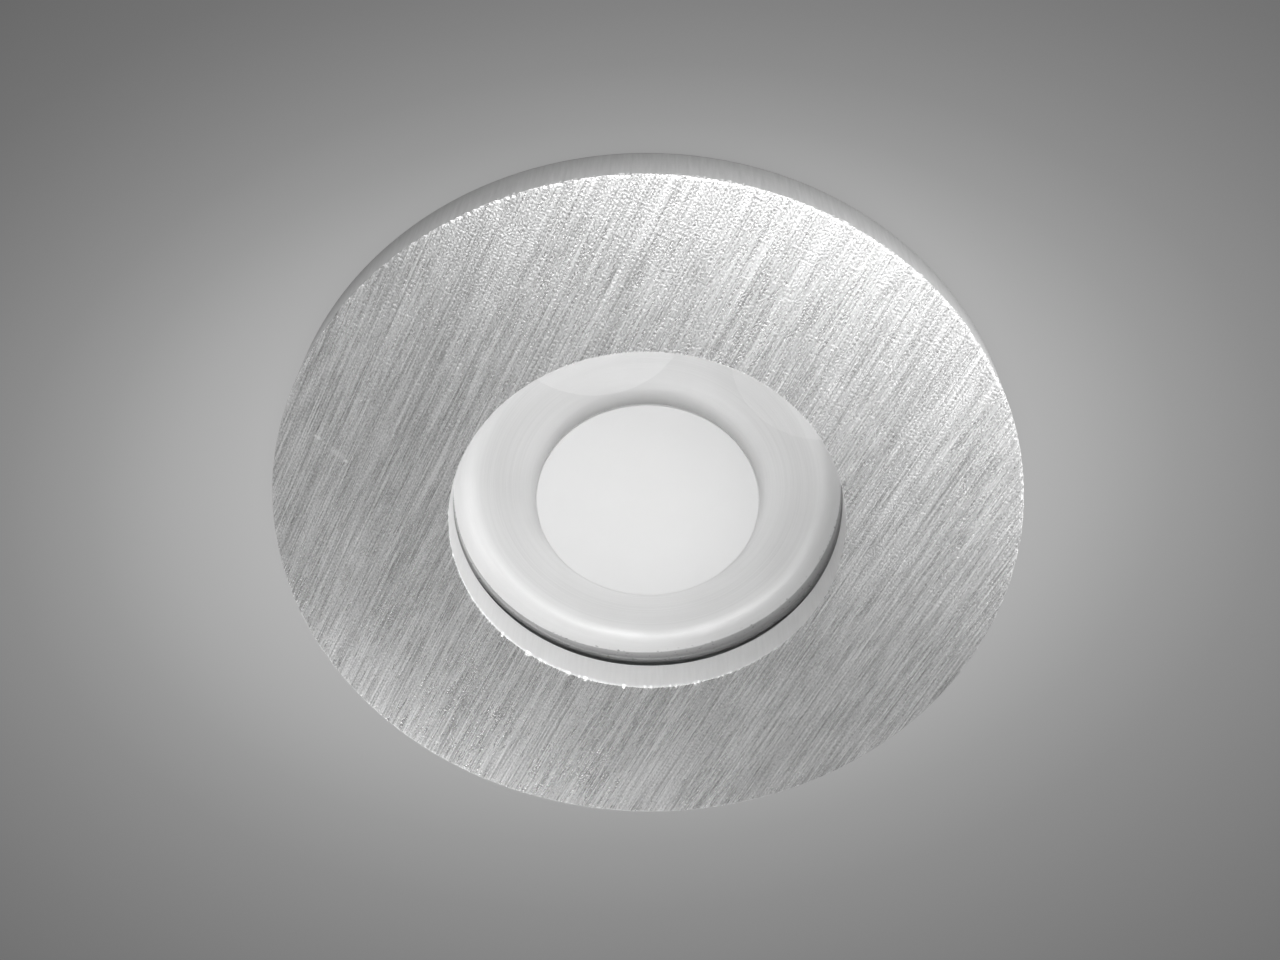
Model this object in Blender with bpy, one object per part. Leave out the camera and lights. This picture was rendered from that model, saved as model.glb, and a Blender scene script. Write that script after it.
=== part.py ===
"""A fixed recessed ceiling spotlight, modelled piece by piece as it comes apart on a bench.

The origin is the middle of the bezel's front face, which looks down (-Z) into the room.
+Z goes up into the ceiling. The two sprung ceiling clips lie along X. Lengths are in metres.
"""

import math

import bmesh
import bpy
from mathutils import Matrix, Vector

# Clearances, edges and facets
MILLIMETRE = 0.001
FIT = 0.0003  # between pieces that seat on or in each other
GLUE_LINE = 0.0001
OVERRUN = 0.0020  # how far a cutter reaches past what it cuts
WELD = 0.000001
SHARP_ANGLE = math.radians(35)
FULL_TURN = 2 * math.pi
HEXAGON_SIDES = 6
BEZEL_FACETS = 96
BODY_FACETS = 60
SMALL_FACETS = 24
SCREW_FACETS = 12

# Bezel, the turned ring below the ceiling
BEZEL_RADIUS = 0.0450
BEZEL_THICKNESS = 0.0066
BEZEL_EDGE = 0.0002  # broken edge
BEZEL_FACE_WIDTH = 0.0211
BEZEL_LAP = 0.0060  # over the edge of the ceiling's hole
SEAT_DEPTH = 0.0020  # of the glass's seat, from the bezel's back
BORE_RADIUS = BEZEL_RADIUS - BEZEL_FACE_WIDTH
LIP_DEPTH = BEZEL_THICKNESS - SEAT_DEPTH
CEILING_HOLE_RADIUS = BEZEL_RADIUS - BEZEL_LAP

# Reflector dish, spun from sheet
DISH_WALL = 0.0007
DISH_DEPTH = 0.00455  # from the glass's back to the floor
DISH_CORNER = 0.0030  # inner radius between wall and floor
DISH_CORNER_STEPS = 5
DISH_EYE_RADIUS = 0.0080  # the light comes in here

# Glass, diffuser and seal
GLASS_LAP = 0.0033  # on the bezel's lip
GLASS_THICKNESS = 0.0018
GLASS_EDGE = 0.0002
DIFFUSER_RADIUS = 0.01375
DIFFUSER_THICKNESS = 0.0008
GLASS_SEAL_CLEARANCE = 0.0008  # from the dish's wall
GLASS_SEAL_THICKNESS = 0.0011
GLASS_RADIUS = BORE_RADIUS + GLASS_LAP
GLASS_SEAL_WIDTH = GLASS_LAP - DISH_WALL - GLASS_SEAL_CLEARANCE
SEAT_RADIUS = GLASS_RADIUS + FIT

# Ceiling gasket, in a groove in the bezel's back
GASKET_THICKNESS = 0.0011
GASKET_GROOVE_DEPTH = 0.0009
GASKET_INSET = 0.0004  # from the edge of the ceiling's hole
GASKET_MARGIN = 0.0014  # from the bezel's edge
GASKET_INNER_RADIUS = CEILING_HOLE_RADIUS + GASKET_INSET
GASKET_OUTER_RADIUS = BEZEL_RADIUS - GASKET_MARGIN

# LED stack
EMITTER_RADIUS = 0.0056
EMITTER_LEDGE = 0.0009  # from the base's edge to the dam
EMITTER_THICKNESS = 0.0012
EMITTER_BASE_THICKNESS = 0.0008
BOARD_LAP = 0.0040  # behind the dish, beyond its eye
BOARD_THICKNESS = 0.0010
THERMAL_PAD_THICKNESS = 0.0005
WIRE_HOLE_RADIUS = 0.0012  # through board and pad
WIRE_HOLE_INSET = 0.0034  # from the board's edge
WIRE_BORE_RADIUS = 0.0025  # up through the hub
WIRE_GROOVE_DEPTH = 0.0016
EMITTER_DAM_RADIUS = EMITTER_RADIUS - EMITTER_LEDGE
BOARD_RADIUS = DISH_EYE_RADIUS + BOARD_LAP
POCKET_RADIUS = BOARD_RADIUS + FIT
WIRE_HOLE_OFFSET = BOARD_RADIUS - WIRE_HOLE_INSET

# Cable gland: each piece goes round the one before, from the cord outwards
CABLE_BORE_RADIUS = 0.0032
GLAND_SEAL_WALL = 0.0012
GLAND_SEAL_PROUD = 0.0022  # above the collar
GLAND_COLLAR_WALL = 0.0009
GLAND_COLLAR_HEIGHT = 0.0040
GLAND_THREAD_STEP = 0.0004  # the lower thread's radius beyond the collar's
GLAND_SEAT_DEPTH = 0.0055  # seal's seat, from the collar's rim
GLAND_STUB_LENGTH = 0.0075
GLAND_HEX_LEDGE = 0.0015  # from the thread to the hexagon's flats
GLAND_HEX_HEIGHT = 0.0035
GLAND_HEX_CHAMFER = 0.0006
GLAND_NUT_WALL = 0.0011  # at the flats
GLAND_NUT_DOME = 0.0050
GLAND_NUT_GRIP_HEIGHT = 0.0050
GLAND_NUT_NOSE_WIDTH = 0.0018  # from the bore to the dome's end
GLAND_NUT_STEP = 0.0004  # from the flats to the dome
GLAND_NUT_STEPS = 4
GLAND_SEAL_RADIUS = CABLE_BORE_RADIUS + GLAND_SEAL_WALL
GLAND_COLLAR_RADIUS = GLAND_SEAL_RADIUS + FIT + GLAND_COLLAR_WALL
GLAND_THREAD_RADIUS = GLAND_COLLAR_RADIUS + GLAND_THREAD_STEP
GLAND_HEX_ACROSS = 2 * (GLAND_THREAD_RADIUS + GLAND_HEX_LEDGE)
GLAND_NUT_ACROSS = 2 * (GLAND_COLLAR_RADIUS + FIT + GLAND_NUT_WALL)
GLAND_NUT_SHOULDER_RADIUS = GLAND_NUT_ACROSS / 2 - GLAND_NUT_STEP
GLAND_NUT_NOSE_RADIUS = CABLE_BORE_RADIUS + GLAND_NUT_NOSE_WIDTH
GLAND_NUT_HEIGHT = GLAND_NUT_GRIP_HEIGHT + GLAND_NUT_DOME

# Heat sink
FLANGE_CLEARANCE = 0.0035  # inside the ceiling's hole
FLANGE_THICKNESS = 0.0025
DRUM_WALL = 0.0021  # round the dish
SINK_BASE_THICKNESS = 0.0035
SINK_HEIGHT = 0.0291  # from the flange's front to the fins' tips
HUB_WALL = 0.0050  # round the gland's thread
FIN_COUNT = 20
FIN_THICKNESS = 0.0016
FIN_PROUD = 0.0013  # of the drum's side
FIN_SLOPE = 0.0033  # how far the tips draw in
FIN_SLOPE_HEIGHT = 0.0120
RIB_RISE = 0.0028  # from the flange to where the fins' side ribs begin
SLOT_ROOT_RISE = 0.0003  # slot floors stand this proud of the drum
FLANGE_RADIUS = CEILING_HOLE_RADIUS - FLANGE_CLEARANCE
CAVITY_RADIUS = BORE_RADIUS + DISH_WALL + FIT
DRUM_RADIUS = CAVITY_RADIUS + DRUM_WALL
FIN_RADIUS = DRUM_RADIUS + FIN_PROUD
FIN_TIP_RADIUS = FIN_RADIUS - FIN_SLOPE
HUB_RADIUS = GLAND_THREAD_RADIUS + HUB_WALL

# Screws
HOUSING_SCREW_HEAD_RADIUS = 0.0027
HOUSING_SCREW_HEAD_HEIGHT = 0.0018
HOUSING_SCREW_RADIUS = 0.0015
HOUSING_SCREW_GRIP_SHARE = 0.5  # of the bezel's thickness
HOUSING_SCREW_COUNT = 3
HOUSING_SCREW_START = math.radians(90)
BOARD_SCREW_HEAD_RADIUS = 0.0020
BOARD_SCREW_HEAD_HEIGHT = 0.0008
BOARD_SCREW_RADIUS = 0.00125
BOARD_SCREW_GRIP = 0.0024  # in the heat sink's base
BOARD_SCREW_INSET = 0.0028  # from the board's edge
CLIP_SCREW_HEAD_RADIUS = 0.0022
CLIP_SCREW_HEAD_HEIGHT = 0.0015
CLIP_SCREW_RADIUS = 0.0013
CLIP_SCREW_LENGTH = 0.0065
CLIP_SCREW_RISE = 0.0126  # above the hinge pin
SOCKET_RADIUS_SHARE = 0.45  # drive socket, of the head's radius
SOCKET_DEPTH_SHARE = 0.55  # of the head's height
HEAD_ROUND_SHARE = 0.25  # of the head's height
HOUSING_SCREW_CIRCLE = (SEAT_RADIUS + FLANGE_RADIUS) / 2
HOUSING_SCREW_GRIP = HOUSING_SCREW_GRIP_SHARE * BEZEL_THICKNESS
HOUSING_SCREW_LENGTH = HOUSING_SCREW_GRIP + FIT + FLANGE_THICKNESS + FIT
BOARD_SCREW_OFFSET = BOARD_RADIUS - BOARD_SCREW_INSET

# Ceiling clips, in their own frame: origin on the hinge pin, x outward, y along the pin.
# The spring goes round the pin, the arm's ears stand outside it and the bracket's outside those.
PIN_RADIUS = 0.0015
PIN_HEAD_STEP = 0.0008
PIN_HEAD_HEIGHT = 0.0008
SPRING_PLAY = 0.0008  # round the pin
SPRING_WIRE_RADIUS = 0.0005
SPRING_TURN_GAP = 0.0005
SPRING_TURNS = 3.5
SPRING_POINTS_A_TURN = 10
SPRING_SIDE_PLAY = 0.0011  # to the arm's ears
SPRING_UPPER_LEG = 0.0080
SPRING_ARM_LEG = 0.0078  # pin to the end of the leg on the arm
SPRING_BEND = 0.0010
SPRING_WIRE_RESOLUTION = 1
SHEET = 0.0010
SHEET_BEND = 0.0006  # inner bend radius
BEND_STEPS = 3
EAR_WALL = 0.0018  # round the pin
EAR_STEPS = 8
BRACKET_SHOULDER = 0.0042  # above the pin, where the ears run back to the web
ARM_SHEET = 0.0009
ARM_PLATE_RISE = 0.0009  # plate's underside above the pin's axis
ARM_REACH = 0.0140  # pin to the bend of the tip
ARM_TIP_LENGTH = 0.0045
ARM_TIP_ANGLE = math.radians(30)
ARM_TIP_INSET = 0.0007  # from the plate's edge, so that the pad can slide on
ARM_FLANGE_END = 0.0115
ARM_FLANGE_END_DROP = 0.0012
ARM_HEEL = 0.0015
PAD_WALL = 0.0008
PAD_COVER = 0.0034  # how much of the arm's tip the sleeve covers
BLOCK_PROUD = 0.0004  # clip block's face beyond the fins
BLOCK_SIDE_MARGIN = 0.0006  # beyond the bracket's web
BLOCK_ROOT = 0.0054  # from the board's pocket to the block's inner end
BLOCK_START = 0.0047  # above the flange
BLOCK_TOP_MARGIN = 0.0015  # above the clip screws' heads
EAR_RADIUS = PIN_RADIUS + EAR_WALL
PIN_HEAD_RADIUS = PIN_RADIUS + PIN_HEAD_STEP
SPRING_MEAN_RADIUS = PIN_RADIUS + SPRING_PLAY + SPRING_WIRE_RADIUS
SPRING_PITCH = 2 * SPRING_WIRE_RADIUS + SPRING_TURN_GAP
SPRING_HALF_WIDTH = SPRING_TURNS * SPRING_PITCH / 2
COIL_RADIUS = SPRING_MEAN_RADIUS + SPRING_WIRE_RADIUS
ARM_HALF_WIDTH = SPRING_HALF_WIDTH + SPRING_WIRE_RADIUS + SPRING_SIDE_PLAY + ARM_SHEET
ARM_TIP_HALF_WIDTH = ARM_HALF_WIDTH - ARM_TIP_INSET
ARM_PLATE_START = COIL_RADIUS + FIT
ARM_PLATE_TOP = ARM_PLATE_RISE + ARM_SHEET
EAR_INNER = ARM_HALF_WIDTH + FIT
BRACKET_HALF_WIDTH = EAR_INNER + SHEET
BRACKET_TOP = CLIP_SCREW_RISE + CLIP_SCREW_HEAD_RADIUS + SHEET
CLIP_SCREW_OFFSET = EAR_INNER - SHEET_BEND - CLIP_SCREW_HEAD_RADIUS
WEB_FACE = -(COIL_RADIUS + FIT)  # from the pin
BLOCK_HALF_WIDTH = BRACKET_HALF_WIDTH + BLOCK_SIDE_MARGIN
BLOCK_INNER = POCKET_RADIUS + BLOCK_ROOT
BLOCK_FACE = FIN_RADIUS + BLOCK_PROUD

# Heights above the bezel's front face, each from the piece that it seats on
GLASS_FRONT = LIP_DEPTH + FIT
GLASS_BACK = GLASS_FRONT + GLASS_THICKNESS
DIFFUSER_FRONT = GLASS_BACK + GLUE_LINE
SEAL_FRONT = GLASS_BACK + FIT
SEAL_SEAT = SEAL_FRONT + GLASS_SEAL_THICKNESS + FIT
GASKET_FRONT = BEZEL_THICKNESS - GASKET_GROOVE_DEPTH + FIT
DISH_FRONT = GLASS_BACK + FIT
DISH_FLOOR = GLASS_BACK + DISH_DEPTH
SHELF = DISH_FLOOR + DISH_WALL + FIT
EMITTER_BACK = SHELF + EMITTER_THICKNESS
BOARD_FRONT = EMITTER_BACK + GLUE_LINE
BOARD_BACK = BOARD_FRONT + BOARD_THICKNESS
PAD_FRONT = BOARD_BACK + FIT
POCKET_FLOOR = PAD_FRONT + THERMAL_PAD_THICKNESS + FIT
BOARD_SCREW_SEAT = BOARD_FRONT - FIT
BOARD_SCREW_LENGTH = POCKET_FLOOR + BOARD_SCREW_GRIP - BOARD_SCREW_SEAT
SINK_FRONT = BEZEL_THICKNESS + FIT
FLANGE_BACK = SINK_FRONT + FLANGE_THICKNESS
HOUSING_SCREW_SEAT = FLANGE_BACK + FIT
DRUM_BACK = POCKET_FLOOR + SINK_BASE_THICKNESS
SINK_BACK = SINK_FRONT + SINK_HEIGHT
GLAND_HEX_FRONT = SINK_BACK + FIT
GLAND_HEX_BACK = GLAND_HEX_FRONT + GLAND_HEX_HEIGHT
GLAND_COLLAR_TOP = GLAND_HEX_BACK + GLAND_COLLAR_HEIGHT
GLAND_SEAT_FLOOR = GLAND_COLLAR_TOP - GLAND_SEAT_DEPTH
GLAND_SEAL_TOP = GLAND_COLLAR_TOP + GLAND_SEAL_PROUD
GLAND_NUT_FRONT = GLAND_HEX_BACK + FIT
GLAND_NUT_TOP = GLAND_NUT_FRONT + GLAND_NUT_HEIGHT

# Where the clips stand
PIN_X = BLOCK_FACE + FIT + SHEET - WEB_FACE
PIN_Z = FLANGE_BACK + FIT + max(EAR_RADIUS, COIL_RADIUS)
BLOCK_TOP = PIN_Z + CLIP_SCREW_RISE + CLIP_SCREW_HEAD_RADIUS + BLOCK_TOP_MARGIN


def material(name, colour, roughness, metallic=0.0, transmission=0.0):
    """A plain material in the piece's colour."""
    made = bpy.data.materials.new(name)
    made.use_nodes = True
    shader = next(n for n in made.node_tree.nodes if n.type == "BSDF_PRINCIPLED")
    shader.inputs["Base Color"].default_value = (*colour, 1.0)
    shader.inputs["Roughness"].default_value = roughness
    shader.inputs["Metallic"].default_value = metallic
    shader.inputs["Transmission Weight"].default_value = transmission
    made.diffuse_color = (*colour, 1.0)
    return made


def finish(bm, name, look, parent=None):
    """Turn a bmesh into an object of its own, closed and facing out."""
    bmesh.ops.remove_doubles(bm, verts=bm.verts, dist=WELD)
    bmesh.ops.recalc_face_normals(bm, faces=bm.faces)
    mesh = bpy.data.meshes.new(name)
    bm.to_mesh(mesh)
    bm.free()
    if look:
        mesh.materials.append(look)
    mesh.shade_smooth()
    mesh.set_sharp_from_angle(angle=SHARP_ANGLE)
    made = bpy.data.objects.new(name, mesh)
    bpy.context.collection.objects.link(made)
    made.parent = parent
    return made


def turned(profile, facets, solid=False):
    """An outline of (radius, height) points spun about Z. A solid one starts and ends on the axis."""
    bm = bmesh.new()
    corners = [bm.verts.new((radius, 0.0, height)) for radius, height in profile]
    pairs = list(zip(corners, corners[1:]))
    if not solid:
        pairs.append((corners[-1], corners[0]))
    edges = [bm.edges.new(pair) for pair in pairs]
    bmesh.ops.spin(
        bm, geom=corners + edges, axis=(0, 0, 1), cent=(0, 0, 0), steps=facets, angle=FULL_TURN
    )
    bmesh.ops.remove_doubles(bm, verts=bm.verts, dist=WELD)
    return bm


def extruded(outline, start, travel):
    """A prism: the outline's points (vectors from start) pushed along travel."""
    bm = bmesh.new()
    face = bm.faces.new([bm.verts.new(Vector(start) + point) for point in outline])
    moved = bmesh.ops.extrude_face_region(bm, geom=[face])["geom"]
    tops = [item for item in moved if isinstance(item, bmesh.types.BMVert)]
    bmesh.ops.translate(bm, verts=tops, vec=travel)
    return bm


def extruded_across(outline, low, high):
    """A prism with an outline of (x, z) points, from y = low to y = high."""
    points = [Vector((x, 0.0, z)) for x, z in outline]
    return extruded(points, (0.0, low, 0.0), (0.0, high - low, 0.0))


def extruded_up(outline, low, high):
    """A prism with an outline of (x, y) points, from z = low to z = high."""
    points = [Vector((x, y, 0.0)) for x, y in outline]
    return extruded(points, (0.0, 0.0, low), (0.0, 0.0, high - low))


def joined(pieces):
    """One bmesh with all the pieces in it, each still a solid of its own."""
    whole = bmesh.new()
    for piece in pieces:
        carrier = bpy.data.meshes.new("carrier")
        bmesh.ops.recalc_face_normals(piece, faces=piece.faces)
        piece.to_mesh(carrier)
        piece.free()
        whole.from_mesh(carrier)
        bpy.data.meshes.remove(carrier)
    return whole


def placed(bm, matrix):
    bmesh.ops.transform(bm, matrix=matrix, verts=bm.verts)
    return bm


def arc(centre, radius, start, end, steps):
    """Points of an arc from one angle to another, both ends included."""
    angles = [start + (end - start) * step / steps for step in range(steps + 1)]
    return [
        (centre[0] + radius * math.cos(angle), centre[1] + radius * math.sin(angle))
        for angle in angles
    ]


def polygon(count, across_flats):
    """Corners of a regular polygon, given the distance across its flats."""
    corner = across_flats / 2 / math.cos(math.pi / count)
    return arc((0.0, 0.0), corner, 0.0, FULL_TURN, count)[:-1]


def cylinder(radius, low, high, facets):
    return turned([(0.0, low), (radius, low), (radius, high), (0.0, high)], facets, solid=True)


def box(low, high):
    corners = [(low[0], low[1]), (high[0], low[1]), (high[0], high[1]), (low[0], high[1])]
    return extruded_up(corners, low[2], high[2])


def combine(target, bm, name, operation):
    """Cut, join or intersect the target with a hidden tool."""
    tool = finish(bm, name, None, target.parent)
    tool.hide_render = True
    tool.display_type = "WIRE"
    modifier = target.modifiers.new(name, "BOOLEAN")
    modifier.operation = operation
    modifier.solver = "EXACT"
    modifier.object = tool


def add_screws(name, places, look, head_radius, head_height, radius, length, parent=None):
    """Pan-head screws that share a mesh, each head's seat at its place and the shank along -Z of it."""
    rounding = HEAD_ROUND_SHARE * head_height
    socket = SOCKET_RADIUS_SHARE * head_radius
    floor = head_height * (1 - SOCKET_DEPTH_SHARE)
    profile = [
        (0.0, floor),
        (socket, floor),
        (socket, head_height),
        (head_radius - rounding, head_height),
        (head_radius, head_height - rounding),
        (head_radius, 0.0),
        (radius, 0.0),
        (radius, -length),
        (0.0, -length),
    ]
    first = finish(turned(profile, SCREW_FACETS, solid=True), f"{name}_1", look, parent)
    first.matrix_local = places[0]
    for number, place in enumerate(places[1:], start=2):
        another = bpy.data.objects.new(f"{name}_{number}", first.data)
        bpy.context.collection.objects.link(another)
        another.parent = parent
        another.matrix_local = place


def around(count, radius, start):
    """Places evenly spaced round a circle."""
    angles = [start + FULL_TURN * step / count for step in range(count)]
    return [Vector((radius * math.cos(angle), radius * math.sin(angle), 0.0)) for angle in angles]


def make_bezel(look):
    groove_inner = GASKET_INNER_RADIUS - FIT
    groove_outer = GASKET_OUTER_RADIUS + FIT
    groove_floor = BEZEL_THICKNESS - GASKET_GROOVE_DEPTH
    profile = [
        (BORE_RADIUS + BEZEL_EDGE, 0.0),
        (BEZEL_RADIUS - BEZEL_EDGE, 0.0),
        (BEZEL_RADIUS, BEZEL_EDGE),
        (BEZEL_RADIUS, BEZEL_THICKNESS - BEZEL_EDGE),
        (BEZEL_RADIUS - BEZEL_EDGE, BEZEL_THICKNESS),
        (groove_outer, BEZEL_THICKNESS),
        (groove_outer, groove_floor),
        (groove_inner, groove_floor),
        (groove_inner, BEZEL_THICKNESS),
        (SEAT_RADIUS, BEZEL_THICKNESS),
        (SEAT_RADIUS, LIP_DEPTH),
        (BORE_RADIUS, LIP_DEPTH),
        (BORE_RADIUS, BEZEL_EDGE),
    ]
    bezel = finish(turned(profile, BEZEL_FACETS), "bezel", look)
    bottom = HOUSING_SCREW_SEAT - HOUSING_SCREW_LENGTH - FIT
    holes = []
    for place in around(HOUSING_SCREW_COUNT, HOUSING_SCREW_CIRCLE, HOUSING_SCREW_START):
        hole = cylinder(
            HOUSING_SCREW_RADIUS + FIT, bottom, BEZEL_THICKNESS + OVERRUN, SCREW_FACETS
        )
        holes.append(placed(hole, Matrix.Translation(place)))
    combine(bezel, joined(holes), "bezel_screw_holes", "DIFFERENCE")


def make_glass(look):
    profile = [
        (0.0, GLASS_FRONT),
        (GLASS_RADIUS - GLASS_EDGE, GLASS_FRONT),
        (GLASS_RADIUS, GLASS_FRONT + GLASS_EDGE),
        (GLASS_RADIUS, GLASS_BACK - GLASS_EDGE),
        (GLASS_RADIUS - GLASS_EDGE, GLASS_BACK),
        (0.0, GLASS_BACK),
    ]
    finish(turned(profile, BODY_FACETS, solid=True), "front_glass", look)


def make_diffuser(look):
    disc = cylinder(
        DIFFUSER_RADIUS, DIFFUSER_FRONT, DIFFUSER_FRONT + DIFFUSER_THICKNESS, BODY_FACETS
    )
    finish(disc, "diffuser_disc", look)


def ring(inner, outer, low, high, facets):
    return turned([(inner, low), (outer, low), (outer, high), (inner, high)], facets)


def make_glass_seal(look):
    inner = GLASS_RADIUS - GLASS_SEAL_WIDTH
    back = SEAL_FRONT + GLASS_SEAL_THICKNESS
    finish(ring(inner, GLASS_RADIUS, SEAL_FRONT, back, BODY_FACETS), "glass_seal", look)


def make_ceiling_gasket(look):
    back = GASKET_FRONT + GASKET_THICKNESS
    gasket = ring(
        GASKET_INNER_RADIUS, GASKET_OUTER_RADIUS, GASKET_FRONT, back, BODY_FACETS
    )
    finish(gasket, "ceiling_gasket", look)


def make_dish(look):
    """A spun dish: a short wall, a rounded corner and a flat floor with the light's eye in it."""
    corner = (BORE_RADIUS - DISH_CORNER, DISH_FLOOR - DISH_CORNER)
    quarter = math.pi / 2
    inner = arc(corner, DISH_CORNER, 0.0, quarter, DISH_CORNER_STEPS)
    outer = arc(corner, DISH_CORNER + DISH_WALL, quarter, 0.0, DISH_CORNER_STEPS)
    profile = [
        (BORE_RADIUS, DISH_FRONT),
        *inner,
        (DISH_EYE_RADIUS, DISH_FLOOR),
        (DISH_EYE_RADIUS, DISH_FLOOR + DISH_WALL),
        *outer,
        (BORE_RADIUS + DISH_WALL, DISH_FRONT),
    ]
    finish(turned(profile, BODY_FACETS), "reflector_dish", look)


def make_emitter(look):
    base_front = EMITTER_BACK - EMITTER_BASE_THICKNESS
    profile = [
        (0.0, SHELF),
        (EMITTER_DAM_RADIUS, SHELF),
        (EMITTER_DAM_RADIUS, base_front),
        (EMITTER_RADIUS, base_front),
        (EMITTER_RADIUS, EMITTER_BACK),
        (0.0, EMITTER_BACK),
    ]
    finish(turned(profile, SMALL_FACETS, solid=True), "led_emitter", look)


def board_holes(low, high):
    """Cutters for the two screws and the wires through the board and the pad."""
    screws = [
        placed(
            cylinder(BOARD_SCREW_RADIUS + FIT, low, high, SCREW_FACETS),
            Matrix.Translation((side * BOARD_SCREW_OFFSET, 0.0, 0.0)),
        )
        for side in (1, -1)
    ]
    wires = placed(
        cylinder(WIRE_HOLE_RADIUS, low, high, SCREW_FACETS),
        Matrix.Translation((0.0, -WIRE_HOLE_OFFSET, 0.0)),
    )
    return joined([*screws, wires])


def make_board(look):
    board = finish(cylinder(BOARD_RADIUS, BOARD_FRONT, BOARD_BACK, SMALL_FACETS), "led_board", look)
    cutters = board_holes(BOARD_FRONT - OVERRUN, BOARD_BACK + OVERRUN)
    combine(board, cutters, "led_board_holes", "DIFFERENCE")


def make_thermal_pad(look):
    back = PAD_FRONT + THERMAL_PAD_THICKNESS
    pad = finish(cylinder(BOARD_RADIUS, PAD_FRONT, back, SMALL_FACETS), "thermal_pad", look)
    combine(pad, board_holes(PAD_FRONT - OVERRUN, back + OVERRUN), "pad_holes", "DIFFERENCE")


def make_board_screws(look):
    """Their heads point down, towards the room."""
    turn = Matrix.Rotation(math.pi, 4, "X")
    places = [
        Matrix.Translation((side * BOARD_SCREW_OFFSET, 0.0, BOARD_SCREW_SEAT)) @ turn
        for side in (1, -1)
    ]
    add_screws(
        "board_screw",
        places,
        look,
        BOARD_SCREW_HEAD_RADIUS,
        BOARD_SCREW_HEAD_HEIGHT,
        BOARD_SCREW_RADIUS,
        BOARD_SCREW_LENGTH,
    )


def fin_face_point(radius, fin_angle, way, height):
    """A point on the fin's face on its far (way = 1) or near (way = -1) side, going round."""
    angle = fin_angle + way * math.asin(FIN_THICKNESS / 2 / radius)
    return (radius * math.cos(angle), radius * math.sin(angle), height)


def fin_slots():
    """Wedge-shaped cutters between the fins: shallow down the drum's side, deep above it."""
    low = FLANGE_BACK + FIT
    high = SINK_BACK + OVERRUN
    far = FIN_RADIUS + OVERRUN
    side_root = DRUM_RADIUS + SLOT_ROOT_RISE
    outline = [
        (side_root, low),
        (far, low),
        (far, high),
        (HUB_RADIUS, high),
        (HUB_RADIUS, DRUM_BACK),
        (side_root, DRUM_BACK),
    ]
    slots = []
    for step in range(FIN_COUNT):
        bm = bmesh.new()
        sides = []
        for fin, way in ((step, 1), (step + 1, -1)):
            angle = FULL_TURN * fin / FIN_COUNT
            points = [fin_face_point(radius, angle, way, height) for radius, height in outline]
            sides.append([bm.verts.new(point) for point in points])
        bm.faces.new(sides[0])
        bm.faces.new(sides[1])
        for here in range(len(outline)):
            there = (here + 1) % len(outline)
            bm.faces.new([sides[0][here], sides[0][there], sides[1][there], sides[1][here]])
        slots.append(bm)
    return joined(slots)


def clip_blocks():
    """The two cast blocks that the clip brackets are screwed to."""
    blocks = []
    for side in (1, -1):
        near, far = sorted((side * BLOCK_INNER, side * BLOCK_FACE))
        low = (near, -BLOCK_HALF_WIDTH, FLANGE_BACK + BLOCK_START)
        blocks.append(box(low, (far, BLOCK_HALF_WIDTH, BLOCK_TOP)))
    return joined(blocks)


def sink_holes():
    """Cutters for the housing, board and clip screws."""
    holes = []
    for place in around(HOUSING_SCREW_COUNT, HOUSING_SCREW_CIRCLE, HOUSING_SCREW_START):
        hole = cylinder(
            HOUSING_SCREW_RADIUS + FIT, SINK_FRONT - OVERRUN, FLANGE_BACK + OVERRUN, SCREW_FACETS
        )
        holes.append(placed(hole, Matrix.Translation(place)))
    board_bottom = BOARD_SCREW_SEAT + BOARD_SCREW_LENGTH + FIT
    for side in (1, -1):
        hole = cylinder(
            BOARD_SCREW_RADIUS + FIT, POCKET_FLOOR - FIT, board_bottom, SCREW_FACETS
        )
        holes.append(placed(hole, Matrix.Translation((side * BOARD_SCREW_OFFSET, 0.0, 0.0))))
        for across in (1, -1):
            depth = CLIP_SCREW_LENGTH - SHEET - FIT
            hole = cylinder(CLIP_SCREW_RADIUS + FIT, -depth, OVERRUN, SCREW_FACETS)
            outward = Matrix.Rotation(side * math.pi / 2, 4, "Y")
            height = PIN_Z + CLIP_SCREW_RISE
            place = Matrix.Translation((side * BLOCK_FACE, across * CLIP_SCREW_OFFSET, height))
            holes.append(placed(hole, place @ outward))
    return joined(holes)


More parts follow.
